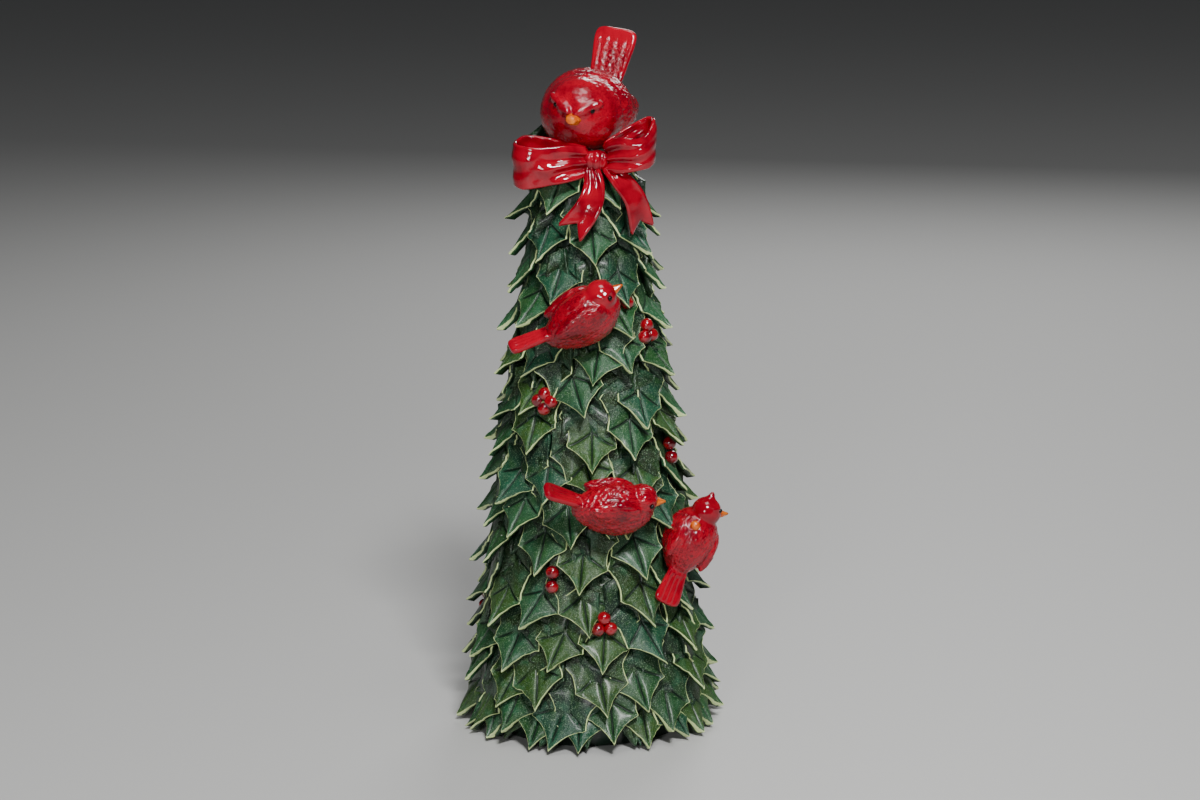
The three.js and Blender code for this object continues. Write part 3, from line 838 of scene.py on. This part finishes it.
def ribbonRing(bm):
    # one closed line round the ribbon: share of the flat, then rim across and out in half thicknesses
    across, rim = ribbon["across"], ribbon["rimFaces"]
    ringPlace = bm.verts.layers.float_vector.new("ringPlace")
    verts = bmesh.ops.create_circle(bm, cap_ends=False, segments=2 * (across + rim), radius=1)["verts"]
    for i, vert in enumerate(sorted(verts, key=lambda vert: math.atan2(vert.co.y, vert.co.x))):
        side, step = divmod(i, across + rim)
        sign = 1 if side == 0 else -1
        if step <= across:
            vert[ringPlace] = (sign * (2 * step / across - 1), 0, -sign)
        else:
            angle = math.pi * (step - across) / rim - math.pi / 2
            vert[ringPlace] = (sign, sign * math.cos(angle), sign * math.sin(angle))


def sweptRibbon(name, steps, spotAt, material, replaced):
    bm = bmesh.new()
    bm.verts.layers.float.new("share")
    ribbonRing(bm)
    shareLayer, ringPlace = bm.verts.layers.float["share"], bm.verts.layers.float_vector["ringPlace"]
    edges = list(bm.edges)
    for step in range(1, steps + 1):
        moved = bmesh.ops.extrude_edge_only(bm, edges=edges)["geom"]
        verts = {item for item in moved if isinstance(item, bmesh.types.BMVert)}
        edges = [item for item in moved
                 if isinstance(item, bmesh.types.BMEdge) and verts.issuperset(item.verts)]
        for vert in verts:
            vert[shareLayer] = step / steps
    for vert in bm.verts:
        vert.co = spotAt(vert[shareLayer], *vert[ringPlace])
    caps = bmesh.ops.holes_fill(bm, edges=[edge for edge in bm.edges if edge.is_boundary], sides=0)["faces"]
    bmesh.ops.triangulate(bm, faces=caps)
    bmesh.ops.recalc_face_normals(bm, faces=bm.faces)
    finishPiece(bm, name, material, "ribbon_glaze", replaced, unmoved)


def bezierPoint(a, b, c, d, t):
    return a * (1 - t) ** 3 + 3 * b * t * (1 - t) ** 2 + 3 * c * t * t * (1 - t) + d * t ** 3


def loopLine(share, length, depth, start):
    half = depth / 2
    spans = (
        ((start, -2.5), (length * 0.3, -half * 0.8), (length * 0.55, -half), (length * 0.78, -half)),
        ((length * 0.78, -half), (length * 1.07, -half), (length * 1.07, half), (length * 0.78, half)),
        ((length * 0.78, half), (length * 0.55, half), (length * 0.3, half * 0.8), (start, 2.5)),
    )
    index = min(int(share * 3), 2)
    return bezierPoint(*(Vector(point) for point in spans[index]), share * 3 - index)


def softLump(spot, height):
    return height * noise.noise(Vector(spot) / ribbon["lumpSize"])


def makeLoop(name, loop, material):
    wall, pleat, side = ribbon["thickness"], ribbon["pleat"], loop["side"]
    length, depth = loop["length"] - wall / 2, ribbon["loopDepth"] - wall
    secondShare, secondAt, secondWidth = ribbon["secondPleat"]
    knot = Vector(ribbon["knot"])

    def lineAt(share):
        return loopLine(min(max(share, 0), 1), length, depth, ribbon["loopStart"])

    def spotAt(share, flat, rim, out):
        here = lineAt(share)
        ahead = (lineAt(share + 1e-3) - lineAt(share - 1e-3)).normalized()
        outward = Vector((ahead.y, -ahead.x))
        far = min(here.x / loop["length"], 1)
        width = mix(ribbon["knotWidth"], ribbon["loopWidth"], math.sqrt(far))
        width *= mix(1, ribbon["turnWidth"], smoothStep(0.86, 1.0, far))
        onFlat = flat * (width - wall) / 2
        reach = smoothStep(0.25, 0.75, far) * smoothStep(0.0, 0.3, abs(share - 0.5) * 2)
        top, bottom = (flat + 1) / 2, (1 - flat) / 2
        onFlat += reach * (bottom * loop["backRise"][1] + top * loop["backRise"][0] if share > 0.5
                           else -top * loop["frontDrop"])
        swell = noise.noise(Vector((0.05 * here.x + 3 * side, 0.9 * flat, 2 * share)))
        fade = math.exp(-(max(here.x - ribbon["pleatFrom"], 0) / ribbon["pleatReach"]) ** 2)
        bend = pleat * fade * math.cos((2.6 + 0.8 * swell) * math.pi * flat + 0.6)
        fade = math.exp(-((here.x - secondAt) / secondWidth) ** 2)
        bend += secondShare * pleat * fade * math.cos(1.5 * math.pi * flat + 3 * swell)
        bend += softLump((here.x, onFlat, 20 * share + 7 * side), ribbon["lumps"][0]) * (1 - abs(flat) ** 4)
        bend += ribbon["belly"] * (1 - flat * flat) * smoothStep(0.3, 0.8, far)
        thick = wall / 2 * (1 - ribbon["middleThin"] * (1 - flat ** 4))
        planar = here + outward * (out * thick + bend)
        return knot + Vector((side * planar.x, planar.y, onFlat + rim * thick + planar.x * loop["lift"]))

    sweptRibbon(f"ribbon_loop_{name}", ribbon["along"], spotAt, material, [f"bow_loop_{name}"])


def makeTail(name, tail, material):
    wall = ribbon["thickness"]
    route = [Vector(point) for point in tail["route"]]
    length = sum((b - a).length for a, b in zip(route, route[1:]))
    face = Vector(tail["facing"]).normalized()

    def spotAt(share, flat, rim, out):
        at = share * (1 - tail["notch"] / length * (1 - abs(flat)))
        ahead = (splinePoint(route, min(at + 1e-3, 1)) - splinePoint(route, max(at - 1e-3, 0))).normalized()
        side = face.cross(ahead).normalized()
        width = mix(tail["width"], tail["endWidth"], math.sqrt(at))
        endRound = math.sqrt(max(1 - max((share - 0.97) / 0.033, 0) ** 2, 0.05))
        thick = wall / 2 * (0.82 + 0.18 * flat ** 4) * endRound
        bend = -ribbon["dish"] * (1 - flat * flat)
        bend += 0.7 * ribbon["pleat"] * (1 - smoothStep(0.1, 0.5, share)) * math.cos(2.6 * math.pi * flat)
        spot = splinePoint(route, at) + side * (flat * (width - wall) / 2 + rim * thick)
        return spot + face * (wall / 2 + out * thick + bend + softLump(spot, ribbon["lumps"][1]))

    sweptRibbon(f"ribbon_tail_{name}", ribbon["along"] // 2, spotAt, material, [f"bow_tail_{name}"])


def makeKnot(material):
    bm = bmesh.new()
    bmesh.ops.create_uvsphere(bm, u_segments=64, v_segments=40, radius=1)
    grooveWidth, grooveDepth = ribbon["knotGroove"]
    for vert in bm.verts:
        unit = vert.co.copy()
        boxy = Vector([math.copysign(abs(value) ** 0.8, value) for value in unit])
        groove = sum(math.exp(-((boxy.x - 0.08 * boxy.z - line) / grooveWidth) ** 2)
                     for line in ribbon["knotGrooves"])
        boxy.x *= 1 - 0.1 * smoothStep(0.2, -1, boxy.z)
        boxy.y *= 1 - grooveDepth * groove + ribbon["knotLump"] * noise.noise(unit * 2.2)
        boxy.z *= 1 - 0.05 * groove
        vert.co = boxy * Vector(ribbon["knotRadii"]) + Vector(ribbon["knot"])
    finishPiece(bm, "ribbon_knot", material, "ribbon_glaze", ["bow_knot"], unmoved)


def makeBow():
    material = redGlaze("ribbon glaze", *ribbon["tones"], ribbon["coat"], ribbon["relief"])
    for name, loop in ribbon["loops"].items():
        makeLoop(name, loop, material)
    for name, tail in ribbon["tails"].items():
        makeTail(name, tail, material)
    makeKnot(material)


makeBow()
print("bow")


# cardinals: beak towards +X, back towards +Z, until they are set in place

smallBird = {
    "profile": ((-27, 0), (-24, 6), (-17, 11.5), (-8, 16), (2, 17.6), (12, 16), (20, 10.5), (24.5, 4.5),
                (26, 0)),
    "width": 0.82,
    "head": (16.8, 0, 8.5),
    "headRadius": 9.6,
    "wing": (-2, 11.5, 6),
    "wingRadii": (17, 3.8, 9.5),
    "tail": {
        "root": (-18, 0, 4), "length": 29, "rootWidth": 10, "endWidth": 13, "thickness": 6.5, "lift": 13,
        "longer": 1.03, "wider": 1.07, "square": 0.42, "middle": 0.62,
    },
    "tailGrooves": (-0.45, 0.0, 0.45),
    "tailGroove": (0.1, 0.6),  # width in half widths of the tail, and depth
    "tailWork": 0.2,
    "beak": {"radius": 4.6, "length": 8, "reach": 15.2, "drop": 1.5, "blunt": 0.8, "aside": 0.0},
    "brow": ((35, 3.6), (85, 4.2), 1.2),  # inner and outer end as turn and lift on the head, and thickness
    "cheeks": None,
    "eye": {"radius": 1.5, "turn": 60, "lift": 1.2},
    "socket": (0.75, 1.3),  # depth in millimetres, and reach in eye radii
    "crest": None,
    "headTurn": 0,
    "headRoll": 0,
    "knob": None,
    "voxel": 0.62,
    "smoothings": 12,
    "smoothHead": 1.0,  # how plain the head is, against the worked body
    "darkBack": 0.0,
    "mattBack": 0.1,
    "mattTail": 0.0,
    "feather": 0.32,
    "strokes": ((0.24, 0.6, 0.6), 1.1),  # how close along, across and up the feathers lie, and their share
    "dabs": ((0.5, 0.75, 0.75), 0.9),
}

bigBird = {
    **smallBird,
    "profile": ((-34, 0), (-31, 9), (-24, 18), (-12, 25), (0, 28), (12, 26), (22, 20), (29, 10), (31, 0)),
    "width": 1.05,
    "head": (21, 0, 3),
    "headRadius": 21.5,
    "wing": (-8, 22, 1),
    "wingRadii": (24, 6, 14),
    "tail": {**smallBird["tail"], "root": (-20, 3, 12), "length": 42.5, "rootWidth": 20, "endWidth": 29,
             "thickness": 6, "lift": 66, "longer": 0.985},
    "tailGrooves": (-0.62, -0.2, 0.2, 0.62),
    "tailGroove": (0.1, 0.35),
    "tailWork": 1.0,
    "beak": {"radius": 6.4, "length": 9, "reach": 26.5, "drop": 1.6, "blunt": 3.2, "aside": 1.2},
    "brow": ((4, 1.6), (52, 9.4), 3.6),
    "socket": (1.5, 2.3),
    "cheeks": {"place": (14, 0, 1), "radii": (26, 26.3, 24.5)},
    "eye": {"radius": 1.8, "turn": 34, "lift": 5},
    "crest": {"radius": 6, "height": 11, "lean": 12},
    "voxel": 0.85,
    "smoothHead": 0.55,
    "darkBack": 0.3,
    "mattTail": 0.3,
}

birdGlaze = {
    "tones": (tone(170, 0, 32), tone(118, 0, 22)),
    "coat": 0.3,
    "relief": 0.0009,
    "carved": {
        "scale": 0.55, "stretch": (0.5, 1.0, 1.0), "strength": 0.38,
        "inked": 0.6, "ink": tone(70, 0, 14), "washed": 0.45, "wash": tone(80, 0, 12),
    },
    "beak": (tone(196, 74, 8), tone(232, 122, 26)),
    "eye": (tone(1, 1, 1), tone(10, 6, 6)),
}


def birdPose(place, forward, back):
    ahead = forward.normalized()
    left = back.cross(ahead).normalized()
    return axesMatrix(ahead, left, ahead.cross(left), place)


def sideBirdPose(turn, height, standOff, heading, tip):
    frameHere = skinFrame(turn, height, standOff)
    across, up, out = (frameHere.col[i].to_3d() for i in range(3))
    angle, tipAngle = math.radians(heading), math.radians(tip)
    forward = across * math.cos(angle) + up * math.sin(angle)
    side = up * math.cos(angle) - across * math.sin(angle)
    return birdPose(frameHere.translation, forward, side * math.cos(tipAngle) + out * math.sin(tipAngle))


birds = {
    "top": (bigBird, birdPose(Vector((3.2, 4, 391.7)), Vector((-0.25, -0.97, 0)), Vector((0.16, 0, 1)))),
    "upper": ({
        **smallBird,
        "headRadius": 10.2,
        "wingRadii": (18, 5, 10),
        "darkBack": 1.0,
    }, sideBirdPose(-1.5, 272.5, 17, 31, 36)),
    "middle": ({
        **smallBird,
        "tail": {**smallBird["tail"], "endWidth": 14.5, "lift": 22},
        "smoothHead": 0.3,
        "feather": 0.5,
    }, sideBirdPose(13, 156, 17, -5, 36)),
    "right": ({
        **smallBird,
        "profile": tuple((0.88 * along, radius) for along, radius in smallBird["profile"]),
        "width": 0.95,
        "head": (20.5, 0, 6.5),
        "wing": (-2, 12.7, 5),
        "wingRadii": (14, 3.6, 9),
        "tail": {**smallBird["tail"], "length": 27, "rootWidth": 12, "endWidth": 18.5, "lift": 6,
                 "longer": 0.93},
        "crest": {"radius": 8.5, "height": 14, "lean": -12},
        "headTurn": -67,
        "headRoll": -80,
        "eye": {"radius": 1.5, "turn": 42, "lift": 2.5},
        "knob": {"place": (9.5, 6.5, 14), "radius": 3.2},
    }, birdPose(Vector((63.3, -38, 127)), Vector((0.42, 0.24, 0.87)), Vector((0.4, -1, 0.1)))),
}


def headPose(bird):
    turn = Matrix.Rotation(math.radians(bird["headTurn"]), 4, "Z")
    roll = Matrix.Rotation(math.radians(bird["headRoll"]), 4, "X")
    return Matrix.Translation(bird["head"]) @ turn @ roll


def tailPose(bird):
    # x out along the tail, y across, z towards the back
    tail = bird["tail"]
    turned = Matrix.Rotation(math.radians(tail["lift"]), 4, "Y") @ Matrix.Rotation(math.pi, 4, "Z")
    return Matrix.Translation(tail["root"]) @ turned


def ellipsoid(bm, radii, pose=unmoved, segments=40):
    verts = bmesh.ops.create_uvsphere(bm, u_segments=segments, v_segments=segments // 2, radius=1)["verts"]
    bmesh.ops.scale(bm, vec=radii, verts=verts)
    bmesh.ops.transform(bm, matrix=pose, verts=verts)
    return verts


def addTrunk(bm, bird):
    profile = [Vector((x, 0, r)) for x, r in bird["profile"]]
    steps = 40
    line = [splinePoint(profile, i / steps) for i in range(steps + 1)]
    line[0].z = line[-1].z = 0
    lathe(bm, [(spot.x, 0, max(spot.z, 0)) for spot in line], (1, 0, 0), 48)
    bmesh.ops.scale(bm, vec=(1, bird["width"], 1), verts=bm.verts)
    bmesh.ops.remove_doubles(bm, verts=bm.verts, dist=1e-3)


def addTail(bm, bird):
    # a plate that is thicker at its rim and widens towards its end
    tail = bird["tail"]
    verts = ellipsoid(bm, (1, 1, 1), segments=64)
    for vert in verts:
        a, b, c = (math.copysign(abs(value) ** tail["square"], value) for value in vert.co)
        along = (a + 1) / 2
        halfWidth = tail["wider"] * mix(tail["rootWidth"], tail["endWidth"], along ** 1.5) / 2
        halfThick = tail["thickness"] / 2 * mix(tail["middle"], 1.0, max(abs(b), along) ** 6)
        vert.co = (tail["longer"] * along * tail["length"], b * halfWidth, c * halfThick)
    bmesh.ops.transform(bm, matrix=tailPose(bird), verts=verts)


def addWing(bm, bird, side):
    x, y, z = bird["wing"]
    verts = ellipsoid(bm, (1, 1, 1))
    long, thick, high = bird["wingRadii"]
    for vert in verts:
        rear = smoothStep(0.2, -1.0, vert.co.x)
        vert.co = (vert.co.x * long, vert.co.y * thick, high * (vert.co.z * (1 - 0.45 * rear) + 0.25 * rear))
    bmesh.ops.translate(bm, vec=(x, side * y, z), verts=verts)


def fusedSkin(bm, voxel, rounds):
    # the joined forms as one smooth skin
    mesh = bpy.data.meshes.new("forms")
    bm.to_mesh(mesh)
    bm.free()
    holder = addObject("forms", mesh)
    remesh = holder.modifiers.new("fuse", "REMESH")
    remesh.mode = "VOXEL"
    remesh.voxel_size = voxel
    skin = bpy.data.meshes.new_from_object(holder.evaluated_get(bpy.context.evaluated_depsgraph_get()))
    bpy.data.objects.remove(holder)
    bpy.data.meshes.remove(mesh)
    fused = bmesh.new()
    fused.verts.layers.float_vector.new("birdPlace")
    fused.verts.layers.float_color.new("workMask")
    fused.from_mesh(skin)
    bpy.data.meshes.remove(skin)
    for _ in range(rounds):
        bmesh.ops.smooth_vert(fused, verts=fused.verts, factor=0.5, use_axis_x=True, use_axis_y=True,
                              use_axis_z=True)
    fused.normal_update()
    return fused


def eyeSpot(bird, side):
    eye = bird["eye"]
    turn = math.radians(eye["turn"])
    reach = math.sqrt((bird["headRadius"] - eye["radius"] * 0.35) ** 2 - eye["lift"] ** 2)
    return headPose(bird) @ Vector((reach * math.cos(turn), side * reach * math.sin(turn), eye["lift"]))


def addBrow(bm, bird, side):
    # a ridge over the eye, on the head's round
    ends = []
    for turn, lift in bird["brow"][:2]:
        reach, angle = math.sqrt(bird["headRadius"] ** 2 - lift ** 2), side * math.radians(turn)
        ends.append(Vector((reach * math.cos(angle), reach * math.sin(angle), lift)))
    along = (ends[1] - ends[0]).normalized()
    middle = (ends[0] + ends[1]).normalized() * bird["headRadius"] * 0.985
    out = (middle - middle.dot(along) * along).normalized()
    thick = bird["brow"][2]
    pose = headPose(bird) @ axesMatrix(along, out.cross(along), out, middle)
    ellipsoid(bm, (0.62 * (ends[1] - ends[0]).length, thick, 0.75 * thick), pose, 24)


def birdForms(bird):
    bm = bmesh.new()
    addTrunk(bm, bird)
    addTail(bm, bird)
    ellipsoid(bm, (bird["headRadius"],) * 3, Matrix.Translation(bird["head"]))
    if bird["cheeks"]:
        ellipsoid(bm, bird["cheeks"]["radii"], Matrix.Translation(bird["cheeks"]["place"]))
    for side in (1, -1):
        addWing(bm, bird, side)
        addBrow(bm, bird, side)
    if bird["crest"]:
        crest = bird["crest"]
        lean = Matrix.Rotation(-math.radians(crest["lean"]), 4, "Y")
        up = Matrix.Translation((0, 0, bird["headRadius"] - crest["height"] * 0.2))
        bmesh.ops.create_cone(bm, cap_ends=True, segments=24, radius1=crest["radius"], radius2=0.6,
                              depth=crest["height"], matrix=headPose(bird) @ lean @ up)
    return bm


def birdSkin(bird):
    # the fused forms, carved with feathers, tail grooves and eye sockets, and masked for the glaze
    skin = fusedSkin(birdForms(bird), bird["voxel"], bird["smoothings"])
    work = skin.verts.layers.float_color["workMask"]
    local = skin.verts.layers.float_vector["birdPlace"]
    eyes = [eyeSpot(bird, side) for side in (1, -1)]
    toTail = tailPose(bird).inverted()
    tail, headPlace, headRadius = bird["tail"], Vector(bird["head"]), bird["headRadius"]
    socketDepth, socketReach = bird["socket"]
    grooveWidth, grooveDepth = bird["tailGroove"]
    (strokeScale, strokeShare), (dabScale, dabShare) = bird["strokes"], bird["dabs"]
    for vert in skin.verts:
        spot = vert.co.copy()
        onHead = 1 - smoothStep(headRadius * 0.95, headRadius * 1.35, (spot - headPlace).length)
        inTail = toTail @ spot
        along = inTail.x / tail["length"]
        across = inTail.y / (mix(tail["rootWidth"], tail["endWidth"], along) / 2)
        onTail = smoothStep(0.2, 0.35, along)
        inBorder = 1 - smoothStep(0.7, 0.85, max(abs(across), along))
        worked = (1 - bird["smoothHead"] * onHead) * (1 - (1 - bird["tailWork"] * inBorder) * onTail)
        stroke = noise.noise(spot * Vector(strokeScale))
        dab = noise.noise(spot * Vector(dabScale) + Vector((9, 0, 0)))
        raised = bird["feather"] * worked * (strokeShare * stroke + dabShare * dab)
        groove = sum(math.exp(-((across - line) / grooveWidth) ** 2) for line in bird["tailGrooves"])
        raised -= grooveDepth * groove * onTail * (1 - smoothStep(0.84, 0.94, along))
        for eye in eyes:
            apart = (spot - eye).length / (socketReach * bird["eye"]["radius"])
            raised -= socketDepth * math.exp(-apart ** 2)
        vert.co = spot + vert.normal * raised
        dark = bird["darkBack"] * (1 - onHead) * (1 - onTail) * smoothStep(-1, 6, spot.z)
        matt = bird["mattTail"] * onTail * inBorder + bird["mattBack"] * dark
        vert[local] = spot
        vert[work] = (worked, dark * (0.7 + 0.6 * noise.noise(spot * 0.12)), min(matt, 1), 1)
    return skin


def makeBeak(bird):
    bm = bmesh.new()
    beak = bird["beak"]
    place = Matrix.Translation((beak["reach"] - beak["length"] / 2, beak["aside"], -beak["drop"]))
    squash = Matrix.Diagonal((1, 1, 0.8, 1))
    turned = Matrix.Rotation(math.pi / 2, 4, "Y")
    bmesh.ops.create_cone(bm, cap_ends=True, segments=7, radius1=beak["radius"], radius2=beak["blunt"],
                          depth=beak["length"], matrix=headPose(bird) @ place @ squash @ turned)
    bmesh.ops.bevel(bm, geom=list(bm.edges), offset=0.55, offset_type="OFFSET", segments=3, profile=0.5,
                    affect="EDGES", material=-1)
    return bm


def makeEye(bird, side):
    bm = bmesh.new()
    ellipsoid(bm, (bird["eye"]["radius"],) * 3, Matrix.Translation(eyeSpot(bird, side)), 24)
    return bm


def makeKnob(bird):
    bm = bmesh.new()
    for vert in ellipsoid(bm, (bird["knob"]["radius"],) * 3, segments=28):
        vert.co *= 1 + 0.08 * noise.noise(vert.co * 0.5)
    bmesh.ops.translate(bm, vec=bird["knob"]["place"], verts=bm.verts)
    return bm


def beakMaterial():
    glaze = Glaze("beak glaze")
    cloud = glaze.noise(240.0, 3.0)
    return glaze.shade({
        "Base Color": glaze.ramp(cloud, *zip((0.35, 0.65), birdGlaze["beak"])),
        "Roughness": glaze.remap(cloud, 0.3, 0.7, 0.18, 0.35),
        "Normal": glaze.bump(cloud, 0.3, 0.0006),
        "Coat Weight": 0.25,
    })


def eyeMaterial():
    glaze = Glaze("eye glaze")
    colour = glaze.ramp(glaze.noise(400.0, 2.0), *zip((0.3, 0.7), birdGlaze["eye"]))
    return glaze.shade({"Base Color": colour, "Roughness": 0.05, "Specular IOR Level": 0.3})


def makeBirds():
    looks = birdGlaze
    red = redGlaze("cardinal glaze", *looks["tones"], looks["coat"], looks["relief"], looks["carved"])
    orange, black = beakMaterial(), eyeMaterial()
    for name, (bird, pose) in birds.items():
        node = f"{name}_cardinal_"
        pieces = [
            (birdSkin(bird), "skin", red, "cardinal_glaze", "body"),
            (makeBeak(bird), "carved_beak", orange, "beak_glaze", "beak"),
            (makeEye(bird, 1), "left_bead_eye", black, "eye_glaze", "eye_left"),
            (makeEye(bird, -1), "right_bead_eye", black, "eye_glaze", "eye_right"),
        ]
        if bird["knob"]:
            pieces.append((makeKnob(bird), "round_nape_knob", orange, "beak_glaze", "nape_knob"))
        for bm, label, material, slotName, replaced in pieces:
            finishPiece(bm, node + label, material, slotName, [node + replaced], pose)


makeBirds()
print("cardinals")


# floor, light and camera

studio = {
    "aim": (0.0085, 0.0, 0.209),
    "distance": 1.8,
    "elevation": 13.0,
    "roll": 0.7,
    "lens": 85.0,
    "floorSize": 6.0,
    "floorTone": (0.52, 0.52, 0.51, 1),
    "sky": (0.75, 0.77, 0.8, 1),
    "skyStrength": 0.06,
    "lightAim": (0, 0, 0.22),
    "lights": {  # place, size and power
        "key light": ((0.35, -1.4, 1.75), (0.36, 0.3), 48),
        "fill light": ((-0.45, -1.9, 0.7), (0.28, 0.28), 9),
        "top light": ((0.2, -0.3, 1.9), (0.6, 0.6), 9),
        "back light": ((0.5, 1.8, 1.2), (0.8, 0.6), 14),
    },
}


def lookingAt(place, target):
    turn = (Vector(target) - Vector(place)).to_track_quat("-Z", "Y")
    return Matrix.Translation(place) @ turn.to_matrix().to_4x4()


def makeFloor():
    bm = bmesh.new()
    bmesh.ops.create_grid(bm, x_segments=2, y_segments=2, size=studio["floorSize"])
    mesh = bpy.data.meshes.new("floor")
    bm.to_mesh(mesh)
    bm.free()
    mesh.materials.append(Glaze("pale floor").shade({"Base Color": studio["floorTone"], "Roughness": 0.6}))
    floor = addObject("floor", mesh)


def makeStudio():
    world = bpy.data.worlds.new("studio")
    bpy.context.scene.world = world
    world.use_nodes = True
    background = world.node_tree.nodes["Background"]
    background.inputs["Color"].default_value = studio["sky"]
    background.inputs["Strength"].default_value = studio["skyStrength"]
    for name, (place, size, power) in studio["lights"].items():
        data = bpy.data.lights.new(name, "AREA")
        data.shape = "RECTANGLE"
        data.size, data.size_y = size
        data.energy = power
        addObject(name, data).matrix_world = lookingAt(place, studio["lightAim"])


def makeCamera():
    data = bpy.data.cameras.new("camera")
    data.lens = studio["lens"]
    data.sensor_width = 36
    camera = addObject("camera", data)
    rise = math.radians(studio["elevation"])
    aim = Vector(studio["aim"])
    place = aim + studio["distance"] * Vector((0, -math.cos(rise), math.sin(rise)))
    camera.matrix_world = lookingAt(place, aim) @ Matrix.Rotation(-math.radians(studio["roll"]), 4, "Z")
    bpy.context.scene.camera = camera


makeFloor()
makeStudio()
makeCamera()
